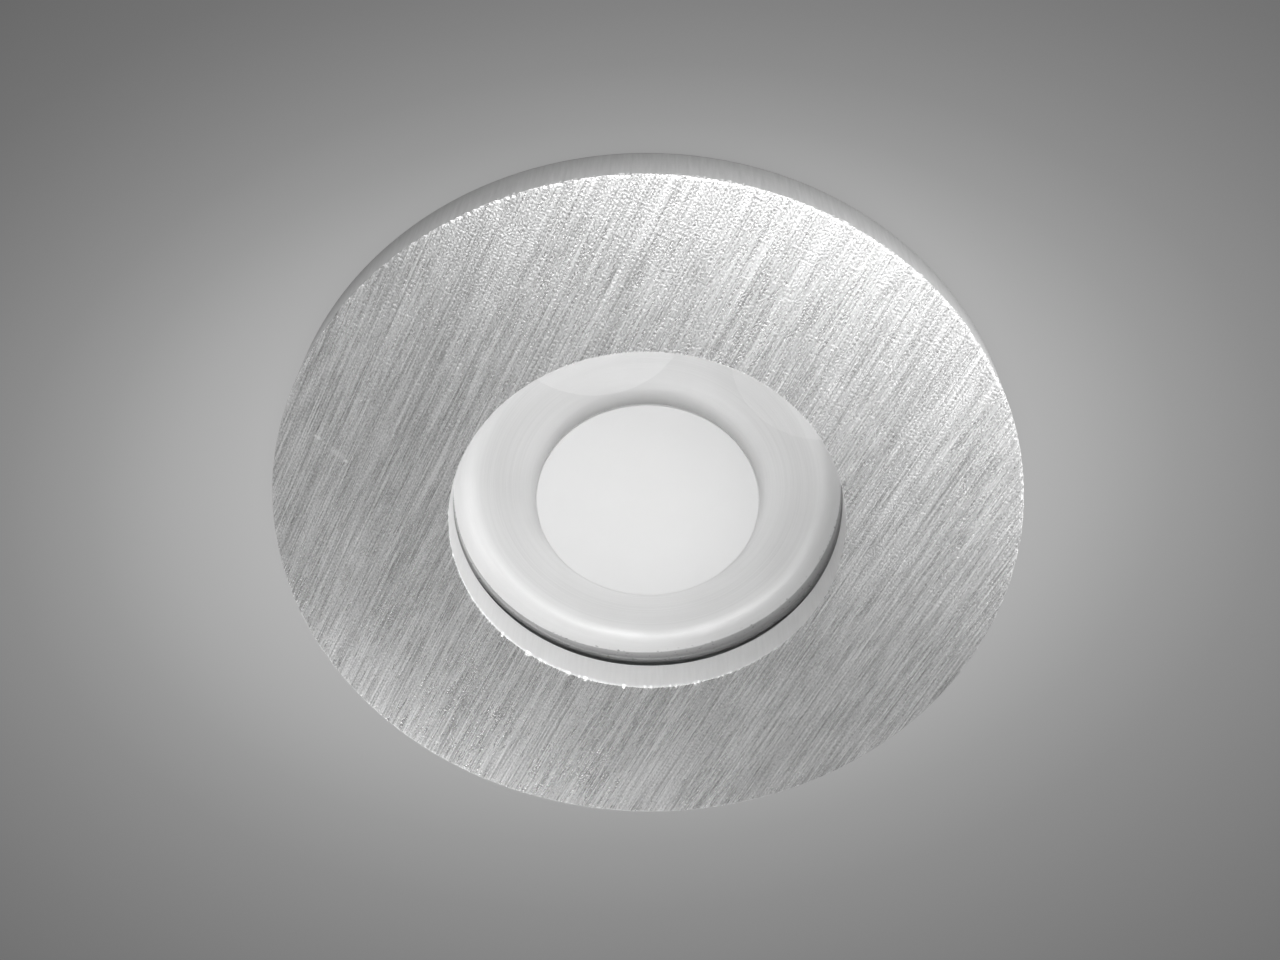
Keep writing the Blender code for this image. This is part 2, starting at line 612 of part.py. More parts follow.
def make_heat_sink(look):
    """A die-cast body: flange, cup for dish and board, hub for the gland, and radial fins."""
    gland_hole = GLAND_THREAD_RADIUS + FIT
    gland_floor = SINK_BACK - GLAND_STUB_LENGTH - FIT
    rib_start = FLANGE_BACK + RIB_RISE
    profile = [
        (SEAT_RADIUS, SINK_FRONT),
        (FLANGE_RADIUS, SINK_FRONT),
        (FLANGE_RADIUS, FLANGE_BACK),
        (DRUM_RADIUS, FLANGE_BACK),
        (DRUM_RADIUS, rib_start - (FIN_RADIUS - DRUM_RADIUS)),
        (FIN_RADIUS, rib_start),
        (FIN_RADIUS, SINK_BACK - FIN_SLOPE_HEIGHT),
        (FIN_TIP_RADIUS, SINK_BACK),
        (gland_hole, SINK_BACK),
        (gland_hole, gland_floor),
        (WIRE_BORE_RADIUS, gland_floor),
        (WIRE_BORE_RADIUS, POCKET_FLOOR),
        (POCKET_RADIUS, POCKET_FLOOR),
        (POCKET_RADIUS, SHELF),
        (CAVITY_RADIUS, SHELF),
        (CAVITY_RADIUS, SEAL_SEAT),
        (SEAT_RADIUS, SEAL_SEAT),
    ]
    sink = finish(turned(profile, BODY_FACETS), "heat_sink", look)
    combine(sink, fin_slots(), "fin_slots", "DIFFERENCE")
    combine(sink, clip_blocks(), "clip_blocks", "UNION")
    combine(sink, sink_holes(), "sink_screw_holes", "DIFFERENCE")
    groove = box(
        (-WIRE_HOLE_RADIUS, -WIRE_HOLE_OFFSET - WIRE_HOLE_RADIUS, POCKET_FLOOR - FIT),
        (WIRE_HOLE_RADIUS, 0.0, POCKET_FLOOR + WIRE_GROOVE_DEPTH),
    )
    combine(sink, groove, "wire_groove", "DIFFERENCE")


def make_housing_screws(look):
    seat = Vector((0.0, 0.0, HOUSING_SCREW_SEAT))
    circle = around(HOUSING_SCREW_COUNT, HOUSING_SCREW_CIRCLE, HOUSING_SCREW_START)
    add_screws(
        "housing_screw",
        [Matrix.Translation(place + seat) for place in circle],
        look,
        HOUSING_SCREW_HEAD_RADIUS,
        HOUSING_SCREW_HEAD_HEIGHT,
        HOUSING_SCREW_RADIUS,
        HOUSING_SCREW_LENGTH,
    )


def make_bracket(side, look, place):
    """Folded sheet: a web against the block and two ears for the pin.

    The folded channel, seen from above, is intersected with the ears' outline, seen from the side.
    """
    back = WEB_FACE - SHEET
    outer_bend = SHEET_BEND + SHEET
    bend_x = back + outer_bend
    bend_y = BRACKET_HALF_WIDTH - outer_bend
    far = EAR_RADIUS + OVERRUN
    half = math.pi / 2
    channel = [
        (far, BRACKET_HALF_WIDTH),
        *arc((bend_x, bend_y), outer_bend, half, 2 * half, BEND_STEPS),
        *arc((bend_x, -bend_y), outer_bend, 2 * half, 3 * half, BEND_STEPS),
        (far, -BRACKET_HALF_WIDTH),
        (far, -EAR_INNER),
        *arc((bend_x, -bend_y), SHEET_BEND, 3 * half, 2 * half, BEND_STEPS),
        *arc((bend_x, bend_y), SHEET_BEND, 2 * half, half, BEND_STEPS),
        (far, EAR_INNER),
    ]
    bracket = finish(
        extruded_up(channel, -EAR_RADIUS, BRACKET_TOP), f"clip_bracket_{side}", look, place
    )
    lean = half - math.atan2(BRACKET_SHOULDER, -WEB_FACE)
    outline = [
        (back - OVERRUN, -EAR_RADIUS - OVERRUN),
        (0.0, -EAR_RADIUS - OVERRUN),
        *arc((0.0, 0.0), EAR_RADIUS, -half, lean, EAR_STEPS),
        (bend_x, BRACKET_SHOULDER),
        (bend_x, BRACKET_TOP + OVERRUN),
        (back - OVERRUN, BRACKET_TOP + OVERRUN),
    ]
    reach = BRACKET_HALF_WIDTH + OVERRUN
    combine(bracket, extruded_across(outline, -reach, reach), f"ear_outline_{side}", "INTERSECT")
    pin_hole = cylinder(PIN_RADIUS + FIT, -reach, reach, SMALL_FACETS)
    holes = [placed(pin_hole, Matrix.Rotation(half, 4, "X"))]
    for across in (1, -1):
        hole = cylinder(CLIP_SCREW_RADIUS + FIT, back - OVERRUN, WEB_FACE + SHEET, SCREW_FACETS)
        lift = Matrix.Translation((0.0, across * CLIP_SCREW_OFFSET, CLIP_SCREW_RISE))
        holes.append(placed(hole, lift @ Matrix.Rotation(half, 4, "Y")))
    combine(bracket, joined(holes), f"bracket_holes_{side}", "DIFFERENCE")


def make_bracket_screws(side, look, place):
    turn = Matrix.Rotation(math.pi / 2, 4, "Y")
    places = [
        Matrix.Translation((WEB_FACE + FIT, across * CLIP_SCREW_OFFSET, CLIP_SCREW_RISE)) @ turn
        for across in (1, -1)
    ]
    add_screws(
        f"bracket_screw_{side}",
        places,
        look,
        CLIP_SCREW_HEAD_RADIUS,
        CLIP_SCREW_HEAD_HEIGHT,
        CLIP_SCREW_RADIUS,
        CLIP_SCREW_LENGTH,
        place,
    )


def make_pin(side, look, place):
    """A rivet: a plain pin with a low head beyond each of the bracket's ears."""
    shoulder = BRACKET_HALF_WIDTH + FIT
    end = shoulder + PIN_HEAD_HEIGHT
    edge = PIN_HEAD_HEIGHT * HEAD_ROUND_SHARE
    profile = [
        (0.0, -end),
        (PIN_HEAD_RADIUS - edge, -end),
        (PIN_HEAD_RADIUS, -end + edge),
        (PIN_HEAD_RADIUS, -shoulder),
        (PIN_RADIUS, -shoulder),
        (PIN_RADIUS, shoulder),
        (PIN_HEAD_RADIUS, shoulder),
        (PIN_HEAD_RADIUS, end - edge),
        (PIN_HEAD_RADIUS - edge, end),
        (0.0, end),
    ]
    pin = placed(turned(profile, SMALL_FACETS, solid=True), Matrix.Rotation(math.pi / 2, 4, "X"))
    finish(pin, f"clip_pin_{side}", look, place)


def tip_frame(along, up):
    """A place on the arm's bent tip: along it from the bend, and up from its underside."""
    root = (ARM_REACH, ARM_PLATE_RISE)
    run = (math.cos(ARM_TIP_ANGLE), -math.sin(ARM_TIP_ANGLE))
    rise = (math.sin(ARM_TIP_ANGLE), math.cos(ARM_TIP_ANGLE))
    return (root[0] + along * run[0] + up * rise[0], root[1] + along * run[1] + up * rise[1])


def make_arm(side, look, swing):
    """A pressed arm: two ears on the pin, a plate that clears the spring, and a bent tip."""
    half = math.pi / 2
    top_bend = (ARM_REACH + ARM_SHEET * math.tan(ARM_TIP_ANGLE / 2), ARM_PLATE_TOP)
    plate = [
        (ARM_PLATE_START, ARM_PLATE_RISE),
        (ARM_REACH, ARM_PLATE_RISE),
        tip_frame(ARM_TIP_LENGTH, 0.0),
        tip_frame(ARM_TIP_LENGTH, ARM_SHEET),
        top_bend,
        (ARM_PLATE_START, ARM_PLATE_TOP),
    ]
    arm = finish(
        extruded_across(plate, -ARM_HALF_WIDTH, ARM_HALF_WIDTH), f"clip_arm_{side}", look, swing
    )
    ear = [
        *arc((0.0, 0.0), EAR_RADIUS, half, 3 * half, EAR_STEPS),
        (ARM_HEEL, -EAR_RADIUS),
        (ARM_FLANGE_END, ARM_PLATE_RISE - ARM_FLANGE_END_DROP),
        (ARM_FLANGE_END, ARM_PLATE_TOP),
        (ARM_PLATE_START, ARM_PLATE_TOP),
    ]
    ears = [
        extruded_across(ear, ARM_HALF_WIDTH - ARM_SHEET, ARM_HALF_WIDTH),
        extruded_across(ear, -ARM_HALF_WIDTH, ARM_SHEET - ARM_HALF_WIDTH),
    ]
    combine(arm, joined(ears), f"arm_ears_{side}", "UNION")
    reach = ARM_HALF_WIDTH + OVERRUN
    pin_hole = cylinder(PIN_RADIUS + FIT, -reach, reach, SMALL_FACETS)
    cuts = [placed(pin_hole, Matrix.Rotation(half, 4, "X"))]
    far = ARM_REACH + ARM_TIP_LENGTH + OVERRUN
    for across in (1, -1):
        near_side, far_side = sorted((across * ARM_TIP_HALF_WIDTH, across * reach))
        low = (ARM_REACH - FIT, near_side, -ARM_TIP_LENGTH)
        cuts.append(box(low, (far, far_side, ARM_PLATE_TOP + OVERRUN)))
    combine(arm, joined(cuts), f"arm_cuts_{side}", "DIFFERENCE")


def make_pad(side, look, swing):
    """A soft sleeve on the arm's tip, closed at the end."""
    start = ARM_TIP_LENGTH - PAD_COVER
    skin = FIT + PAD_WALL
    end = ARM_TIP_LENGTH + skin
    outline = [
        tip_frame(start, -skin),
        tip_frame(end, -skin),
        tip_frame(end, ARM_SHEET + skin),
        tip_frame(start, ARM_SHEET + skin),
    ]
    half_width = ARM_TIP_HALF_WIDTH + skin
    pad = finish(
        extruded_across(outline, -half_width, half_width), f"clip_pad_{side}", look, swing
    )
    slot = [
        tip_frame(start - OVERRUN, -FIT),
        tip_frame(ARM_TIP_LENGTH + FIT, -FIT),
        tip_frame(ARM_TIP_LENGTH + FIT, ARM_SHEET + FIT),
        tip_frame(start - OVERRUN, ARM_SHEET + FIT),
    ]
    slot_half = ARM_TIP_HALF_WIDTH + FIT
    combine(pad, extruded_across(slot, -slot_half, slot_half), f"pad_slot_{side}", "DIFFERENCE")


def spring_route():
    """The wire's middle line: down the web, round the pin, then up and over the arm's plate."""
    half_width = SPRING_HALF_WIDTH
    steps = round(SPRING_TURNS * SPRING_POINTS_A_TURN)
    points = [Vector((-SPRING_MEAN_RADIUS, -half_width, SPRING_UPPER_LEG))]
    for step in range(steps + 1):
        done = step / steps
        angle = math.pi + FULL_TURN * SPRING_TURNS * done
        across = -half_width + 2 * half_width * done
        x = SPRING_MEAN_RADIUS * math.cos(angle)
        z = SPRING_MEAN_RADIUS * math.sin(angle)
        points.append(Vector((x, across, z)))
    leg_height = ARM_PLATE_TOP + FIT + SPRING_WIRE_RADIUS
    centre = (SPRING_MEAN_RADIUS + SPRING_BEND, leg_height - SPRING_BEND)
    for x, z in arc(centre, SPRING_BEND, math.pi, math.pi / 2, BEND_STEPS):
        points.append(Vector((x, half_width, z)))
    points.append(Vector((SPRING_ARM_LEG, half_width, leg_height)))
    return points


def least_self_gap(points):
    """The least gap between two turns of the coil, measured on its points."""
    coil = points[1 : 2 + round(SPRING_TURNS * SPRING_POINTS_A_TURN)]
    apart = SPRING_POINTS_A_TURN // 2
    pairs = [
        (coil[i] - coil[j]).length
        for i in range(len(coil))
        for j in range(i + apart, len(coil))
    ]
    return min(pairs) - 2 * SPRING_WIRE_RADIUS


def make_spring(side, look, place):
    points = spring_route()
    curve = bpy.data.curves.new(f"clip_spring_{side}", "CURVE")
    curve.dimensions = "3D"
    spline = curve.splines.new("POLY")
    spline.points.add(len(points) - 1)
    for knot, point in zip(spline.points, points):
        knot.co = (*point, 1.0)
    curve.bevel_depth = SPRING_WIRE_RADIUS
    curve.bevel_resolution = SPRING_WIRE_RESOLUTION
    curve.use_fill_caps = True
    curve.materials.append(look)
    spring = bpy.data.objects.new(f"clip_spring_{side}", curve)
    bpy.context.collection.objects.link(spring)
    spring.parent = place


def empty(name, location, turn, parent=None):
    made = bpy.data.objects.new(name, None)
    made.location = location
    made.rotation_euler = (0.0, 0.0, turn)
    made.parent = parent
    bpy.context.collection.objects.link(made)
    return made


def make_clip(side, way, looks):
    """One ceiling clip. Its own frame stands on the hinge pin, and the arm's frame turns in it."""
    turn = 0.0 if way > 0 else math.pi
    place = empty(f"clip_place_{side}", (way * PIN_X, 0.0, PIN_Z), turn)
    swing = empty(f"clip_swing_{side}", (0.0, 0.0, 0.0), 0.0, place)
    make_bracket(side, looks["zinc_steel"], place)
    make_bracket_screws(side, looks["screw_steel"], place)
    make_pin(side, looks["screw_steel"], place)
    make_spring(side, looks["spring_steel"], place)
    make_arm(side, looks["zinc_steel"], swing)
    make_pad(side, looks["soft_plastic"], swing)


def chamfered(corner, low, high):
    """Outline of a blank that a hexagon is cut from. Its cones take the tips off the corners."""
    small = corner - GLAND_HEX_CHAMFER
    large = corner + GLAND_HEX_CHAMFER
    slope = 2 * GLAND_HEX_CHAMFER
    return [(small, low), (large, low + slope), (large, high - slope), (small, high)]


def make_gland_body(look):
    """Thread, hexagon and collar with the seal's seat. The hexagon is intersected into a turned blank."""
    corner = GLAND_HEX_ACROSS / 2 / math.cos(math.pi / HEXAGON_SIDES)
    seat = GLAND_SEAL_RADIUS + FIT
    bottom = SINK_BACK - GLAND_STUB_LENGTH
    profile = [
        (CABLE_BORE_RADIUS, bottom),
        (GLAND_THREAD_RADIUS, bottom),
        (GLAND_THREAD_RADIUS, GLAND_HEX_FRONT),
        *chamfered(corner, GLAND_HEX_FRONT, GLAND_HEX_BACK),
        (GLAND_COLLAR_RADIUS, GLAND_HEX_BACK),
        (GLAND_COLLAR_RADIUS, GLAND_COLLAR_TOP),
        (seat, GLAND_COLLAR_TOP),
        (seat, GLAND_SEAT_FLOOR),
        (CABLE_BORE_RADIUS, GLAND_SEAT_FLOOR),
    ]
    body = finish(turned(profile, SMALL_FACETS), "gland_body", look)
    hexagon = extruded_up(
        polygon(HEXAGON_SIDES, GLAND_HEX_ACROSS), bottom - OVERRUN, GLAND_COLLAR_TOP + OVERRUN
    )
    combine(body, hexagon, "gland_hexagon", "INTERSECT")


def make_gland_seal(look):
    seal = ring(
        CABLE_BORE_RADIUS, GLAND_SEAL_RADIUS, GLAND_SEAT_FLOOR + FIT, GLAND_SEAL_TOP, SMALL_FACETS
    )
    finish(seal, "gland_seal", look)


def make_gland_nut(look):
    """A domed cap nut that squeezes the seal round the cord."""
    corner = GLAND_NUT_ACROSS / 2 / math.cos(math.pi / HEXAGON_SIDES)
    grip = GLAND_NUT_FRONT + GLAND_NUT_GRIP_HEIGHT
    thread = GLAND_COLLAR_RADIUS + FIT
    throat = GLAND_SEAL_RADIUS + FIT
    mouth = CABLE_BORE_RADIUS + FIT
    dome_width = GLAND_NUT_SHOULDER_RADIUS - GLAND_NUT_NOSE_RADIUS
    dome_height = GLAND_NUT_DOME
    dome = [
        (
            GLAND_NUT_NOSE_RADIUS + dome_width * math.cos(math.pi / 2 * step / GLAND_NUT_STEPS),
            grip + dome_height * math.sin(math.pi / 2 * step / GLAND_NUT_STEPS),
        )
        for step in range(GLAND_NUT_STEPS + 1)
    ]
    profile = [
        (thread, GLAND_NUT_FRONT),
        *chamfered(corner, GLAND_NUT_FRONT, grip),
        *dome,
        (mouth, GLAND_NUT_TOP),
        (mouth, GLAND_SEAL_TOP + FIT),
        (throat, GLAND_SEAL_TOP + FIT),
        (throat, GLAND_COLLAR_TOP + FIT),
        (thread, GLAND_COLLAR_TOP + FIT),
    ]
    nut = finish(turned(profile, SMALL_FACETS), "gland_nut", look)
    hexagon = extruded_up(
        polygon(HEXAGON_SIDES, GLAND_NUT_ACROSS), GLAND_NUT_FRONT - OVERRUN, GLAND_NUT_TOP + OVERRUN
    )
    combine(nut, hexagon, "nut_hexagon", "INTERSECT")


def make_looks():
    return {
        "brushed_aluminium": material("brushed_aluminium", (0.72, 0.72, 0.73), 0.38, 1.0),
        "spun_aluminium": material("spun_aluminium", (0.82, 0.82, 0.83), 0.30, 1.0),
        "cast_aluminium": material("cast_aluminium", (0.42, 0.43, 0.44), 0.60, 1.0),
        "clear_glass": material("clear_glass", (0.95, 0.97, 0.96), 0.03, 0.0, 1.0),
        "frosted_white": material("frosted_white", (0.88, 0.88, 0.88), 0.55),
        "black_rubber": material("black_rubber", (0.03, 0.03, 0.03), 0.80),
        "grey_foam": material("grey_foam", (0.10, 0.10, 0.10), 0.90),
        "white_board": material("white_board", (0.85, 0.85, 0.83), 0.45),
        "led_phosphor": material("led_phosphor", (0.90, 0.72, 0.20), 0.50),
        "thermal_pad": material("thermal_pad", (0.45, 0.55, 0.65), 0.80),
        "screw_steel": material("screw_steel", (0.60, 0.60, 0.60), 0.35, 1.0),
        "zinc_steel": material("zinc_steel", (0.62, 0.64, 0.66), 0.42, 1.0),
        "spring_steel": material("spring_steel", (0.50, 0.50, 0.50), 0.30, 1.0),
        "soft_plastic": material("soft_plastic", (0.80, 0.80, 0.78), 0.60),
        "black_nylon": material("black_nylon", (0.04, 0.04, 0.04), 0.50),
    }


def build():
    for old in list(bpy.data.objects):
        bpy.data.objects.remove(old, do_unlink=True)
    looks = make_looks()
    make_bezel(looks["brushed_aluminium"])
    make_glass(looks["clear_glass"])
    make_diffuser(looks["frosted_white"])
    make_glass_seal(looks["black_rubber"])
    make_ceiling_gasket(looks["grey_foam"])
    make_dish(looks["spun_aluminium"])
    make_emitter(looks["led_phosphor"])
    make_board(looks["white_board"])
    make_thermal_pad(looks["thermal_pad"])
    make_board_screws(looks["screw_steel"])
    make_heat_sink(looks["cast_aluminium"])
    make_housing_screws(looks["screw_steel"])
    make_clip("right", 1, looks)
    make_clip("left", -1, looks)
    make_gland_body(looks["black_nylon"])
    make_gland_seal(looks["black_rubber"])
    make_gland_nut(looks["black_nylon"])
    gap = least_self_gap(spring_route())
    print(f"least gap between the spring's turns: {gap / MILLIMETRE:.2f} mm")


build()
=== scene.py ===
# %% [markdown]
# # A recessed spotlight, dressed for a studio picture
#
# The measured model gives every piece its size and place, and this lesson gives it its finish.
# Lengths are in metres. The front face lies on Z = 0 and looks down, so the ceiling is above
# it, on the +Z side.

# %% Load the measured frame
import math

import bmesh
import bpy
import numpy as np
from mathutils import Matrix, Vector


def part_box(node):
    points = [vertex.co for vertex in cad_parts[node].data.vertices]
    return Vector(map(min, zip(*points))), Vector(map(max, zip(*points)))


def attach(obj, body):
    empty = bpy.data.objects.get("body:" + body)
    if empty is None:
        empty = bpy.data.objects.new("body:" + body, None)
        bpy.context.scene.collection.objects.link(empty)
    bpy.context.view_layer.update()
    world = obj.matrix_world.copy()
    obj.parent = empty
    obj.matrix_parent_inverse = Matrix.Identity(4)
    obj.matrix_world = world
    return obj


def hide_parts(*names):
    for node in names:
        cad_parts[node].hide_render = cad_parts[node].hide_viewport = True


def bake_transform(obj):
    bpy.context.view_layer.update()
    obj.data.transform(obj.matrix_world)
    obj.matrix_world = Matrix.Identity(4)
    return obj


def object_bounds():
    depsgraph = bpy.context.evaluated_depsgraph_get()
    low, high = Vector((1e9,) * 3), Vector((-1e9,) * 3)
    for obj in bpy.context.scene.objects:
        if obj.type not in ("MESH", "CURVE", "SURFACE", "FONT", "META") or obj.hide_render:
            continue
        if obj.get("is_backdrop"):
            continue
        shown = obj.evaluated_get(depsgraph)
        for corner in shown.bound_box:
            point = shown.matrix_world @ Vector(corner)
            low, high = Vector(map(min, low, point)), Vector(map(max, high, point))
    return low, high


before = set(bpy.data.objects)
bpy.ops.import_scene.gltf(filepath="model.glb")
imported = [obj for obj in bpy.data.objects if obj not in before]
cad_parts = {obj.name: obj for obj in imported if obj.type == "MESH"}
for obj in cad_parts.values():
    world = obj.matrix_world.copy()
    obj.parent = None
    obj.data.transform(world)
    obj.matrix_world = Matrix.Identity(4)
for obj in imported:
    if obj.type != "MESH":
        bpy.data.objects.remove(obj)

MM = 0.001
FULL_TURN = 2 * math.pi
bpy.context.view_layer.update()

# %% [markdown]
# ## Mesh helpers
#
# Most pieces here are outlines turned about Z, as on a lathe. Real edges are never sharp: each
# corner of an outline gets a small radius of its own, and that thin curve catches the light.


# %% Outlines with rounded corners
def softened(corners, steps=3):
    """Corners are (radius, height, rounding). Returns the closed outline with round corners."""
    points = []
    for here, (x, z, rounding) in enumerate(corners):
        point = Vector((x, z))
        if rounding <= 0:
            points.append((x, z))
            continue
        before = Vector(corners[here - 1][:2]) - point
        after = Vector(corners[(here + 1) % len(corners)][:2]) - point
        half = before.angle(after) / 2
        reach = min(rounding / math.tan(half), before.length * 0.45, after.length * 0.45)
        first = point + before.normalized() * reach
        last = point + after.normalized() * reach
        for step in range(steps + 1):
            t = step / steps
            bent = first * (1 - t) ** 2 + point * 2 * t * (1 - t) + last * t * t
            points.append((bent.x, bent.y))
    return points


# %% Objects from meshes
SMOOTH_ANGLE = math.radians(35)  # faces that meet at less than this are shaded as one


def new_object(name, data):
    """An object with that mesh, curve, lamp or camera, linked into the scene."""
    made = bpy.data.objects.new(name, data)
    bpy.context.scene.collection.objects.link(made)
    return made


def keep_mesh(bm, name):
    """A new object from a bmesh: doubles merged, normals outward, sharp only at real corners."""
    bmesh.ops.remove_doubles(bm, verts=bm.verts, dist=0.0005 * MM)
    bmesh.ops.recalc_face_normals(bm, faces=bm.faces)
    mesh = bpy.data.meshes.new(name)
    bm.to_mesh(mesh)
    bm.free()
    mesh.shade_smooth()
    mesh.set_sharp_from_angle(angle=SMOOTH_ANGLE)
    return new_object(name, mesh)


def turned(name, outline, segments, on_axis=False):
    """An outline of (radius, height) points turned about Z. On the axis, it is left open."""
    bm = bmesh.new()
    corners = [bm.verts.new((radius, 0.0, height)) for radius, height in outline]
    pairs = list(zip(corners, corners[1:]))
    if not on_axis:
        pairs.append((corners[-1], corners[0]))
    edges = [bm.edges.new(pair) for pair in pairs]
    bmesh.ops.spin(
        bm, geom=corners + edges, axis=(0, 0, 1), cent=(0, 0, 0), steps=segments, angle=FULL_TURN
    )
    return keep_mesh(bm, name)


def final_mesh(source, name):
    """A plain mesh of what the source's modifiers make. The modifiers go."""
    graph = bpy.context.evaluated_depsgraph_get()
    mesh = bpy.data.meshes.new_from_object(source.evaluated_get(graph))
    mesh.name = name
    source.modifiers.clear()
    return mesh


def applied(piece):
    """The piece with its modifiers made part of its mesh."""
    old = piece.data
    piece.data = final_mesh(piece, piece.name)
    bpy.data.meshes.remove(old)
    return piece


def set_look(piece, *looks):
    piece.data.materials.clear()
    for look in looks:
        piece.data.materials.append(look)


def fitted(piece, body, slot, *nodes):
    """Hand a finished piece over: what it rides on and the nodes that it stands for. The slot is
    not used.
    """
    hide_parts(*nodes)
    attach(piece, body)
    triangles = sum(len(face.vertices) - 2 for face in piece.data.polygons)
    print(f"{piece.name}: {triangles} triangles, stands for {len(nodes)} node(s)")


def plate(name, node, look, slot, segments, below, above, inner=0.0):
    """A finished flat disc or ring in its node's box, its edges rounded below and above."""
    low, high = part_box(node)
    corners = [
        (inner, low.z, below if inner else 0.0),
        (high.x, low.z, below),
        (high.x, high.z, above),
        (inner, high.z, above if inner else 0.0),
    ]
    piece = turned(name, softened(corners), segments, on_axis=not inner)
    set_look(piece, look)
    fitted(piece, "lamp", slot, node)


# %% [markdown]
# ## Material helpers
#
# A finish is a small graph: a pattern in the piece's own coordinates, laid out in millimetres,
# drives colour, roughness and a very shallow bump.


# %% Node helpers
def wire(tree, node, inputs):
    """Set a node's inputs. An input that is another node's output is linked."""
    for key, value in inputs.items():
        if isinstance(value, bpy.types.NodeSocket):
            tree.links.new(value, node.inputs[key])
        else:
            node.inputs[key].default_value = value


def add(tree, kind, inputs=None, **settings):
    """A node with its settings and inputs."""
    made = tree.nodes.new(kind)
    for key, value in settings.items():
        setattr(made, key, value)
    wire(tree, made, inputs or {})
    return made


def maths(tree, operation, first, second=0.0, third=None):
    inputs = {0: first, 1: second}
    if third is not None:
        inputs[2] = third
    return add(tree, "ShaderNodeMath", inputs, operation=operation).outputs[0]


def summed(tree, *parts):
    """The sum of (output, weight) pairs."""
    total = 0.0
    for value, weight in parts:
        total = maths(tree, "MULTIPLY_ADD", value, weight, total)
    return total


def vector_maths(tree, operation, first, second=(0.0, 0.0, 0.0)):
    return add(tree, "ShaderNodeVectorMath", {0: first, 1: second}, operation=operation)


def remapped(tree, value, low, high, to_low=0.0, to_high=1.0):
    """The value taken from one range to another, and held inside it."""
    names = ("Value", "From Min", "From Max", "To Min", "To Max")
    inputs = dict(zip(names, (value, low, high, to_low, to_high)))
    return add(tree, "ShaderNodeMapRange", inputs, clamp=True).outputs[0]


def rgba(colour):
    """What a colour input takes: another node's output, three numbers, or one for a grey."""
    if isinstance(colour, bpy.types.NodeSocket):
        return colour
    return (*colour, 1.0) if isinstance(colour, tuple) else (colour, colour, colour, 1.0)


def mixed(tree, share, first, second):
    """A colour between two colours, by a share from 0 to 1."""
    inputs = {0: share, 6: rgba(first), 7: rgba(second)}
    return add(tree, "ShaderNodeMix", inputs, data_type="RGBA").outputs[2]


def stretched(tree, vector, sizes):
    """Coordinates in which one unit is one grain of the pattern, sizes long along each axis."""
    scale = tuple(1 / size if size else 0.0 for size in sizes)
    return add(tree, "ShaderNodeMapping", {"Vector": vector, "Scale": scale}).outputs[0]


def noise(tree, vector, detail=2.0, roughness=0.5):
    inputs = {"Vector": vector, "Scale": 1.0, "Detail": detail, "Roughness": roughness}
    return add(tree, "ShaderNodeTexNoise", inputs).outputs["Fac"]


def in_grains(tree, place, size):
    """Object coordinates in grains. The size is in millimetres, one number or one an axis."""
    sizes = size if isinstance(size, tuple) else (size, size, size)
    return stretched(tree, place, [length * MM for length in sizes])


def grained(tree, place, size, detail):
    return noise(tree, in_grains(tree, place, size), detail)


def cells(tree, place, size, output):
    """Rounded cells of that size: the distance to their middles, or a colour for each."""
    inputs = {"Vector": in_grains(tree, place, size), "Scale": 1.0}
    return add(tree, "ShaderNodeTexVoronoi", inputs, feature="F1").outputs[output]


def reach_in(tree, place, middle, turn, size):
    """How far a place is from an ellipse's middle, seen along Z: 1 on the ellipse itself."""
    inputs = {"Vector": place, "Location": middle, "Rotation": (0.0, 0.0, turn), "Scale": size}
    inside = add(tree, "ShaderNodeMapping", inputs, vector_type="TEXTURE").outputs[0]
    flat = vector_maths(tree, "MULTIPLY", inside, (1.0, 1.0, 0.0)).outputs[0]
    return vector_maths(tree, "LENGTH", flat).outputs[1]


def new_look(name):
    """An empty material with a Principled shader: its tree, the shader and object coordinates."""
    look = bpy.data.materials.new(name)
    look.use_nodes = True
    tree = look.node_tree
    tree.nodes.clear()
    shader = tree.nodes.new("ShaderNodeBsdfPrincipled")
    output = tree.nodes.new("ShaderNodeOutputMaterial")
    tree.links.new(shader.outputs[0], output.inputs[0])
    place = tree.nodes.new("ShaderNodeTexCoord").outputs["Object"]
    return look, tree, shader, place


def either(tree, share, first, second):
    """One shader or the other, by a share from 0 to 1."""
    inputs = {0: share, 1: first.outputs[0], 2: second.outputs[0]}
    return add(tree, "ShaderNodeMixShader", inputs)


def show(tree, surface):
    """Let this shader be the material's surface in place of the Principled one."""
    output = next(node for node in tree.nodes if node.type == "OUTPUT_MATERIAL")
    tree.links.new(surface.outputs[0], output.inputs[0])


def bumped(tree, shader, height, depth):
    """A bump of that depth in metres where the height goes from 0 to 1."""
    inputs = {"Height": height, "Distance": depth, "Strength": 1.0}
    tree.links.new(add(tree, "ShaderNodeBump", inputs).outputs[0], shader.inputs["Normal"])


# %% A finish that is the same all over
def plain_finish(name, cloud, tones, grain, rough, depth, constants=None):
    """Wide clouds between two tones, and a fine grain in the roughness and the bump.

    The cloud is its size, its detail and the range of it that shows, the grain its size and
    detail. Sizes and the bump's depth are in millimetres.
    """
    look, tree, shader, place = new_look(name)
    size, detail, low, high = cloud
    share = remapped(tree, grained(tree, place, size, detail), low, high)
    fine = grained(tree, place, *grain)
    inputs = {
        "Base Color": mixed(tree, share, *tones),
        "Roughness": remapped(tree, fine, 0.3, 0.7, *rough),
    }
    wire(tree, shader, inputs | (constants or {}))
    bumped(tree, shader, fine, depth * MM)
    return look


# %% [markdown]
# ## Sizes that the scene repeats
#
# The scene can't read the model's source, so the few sizes that its finer pieces need are
# repeated here. The loaded ring's own size is printed as a check.

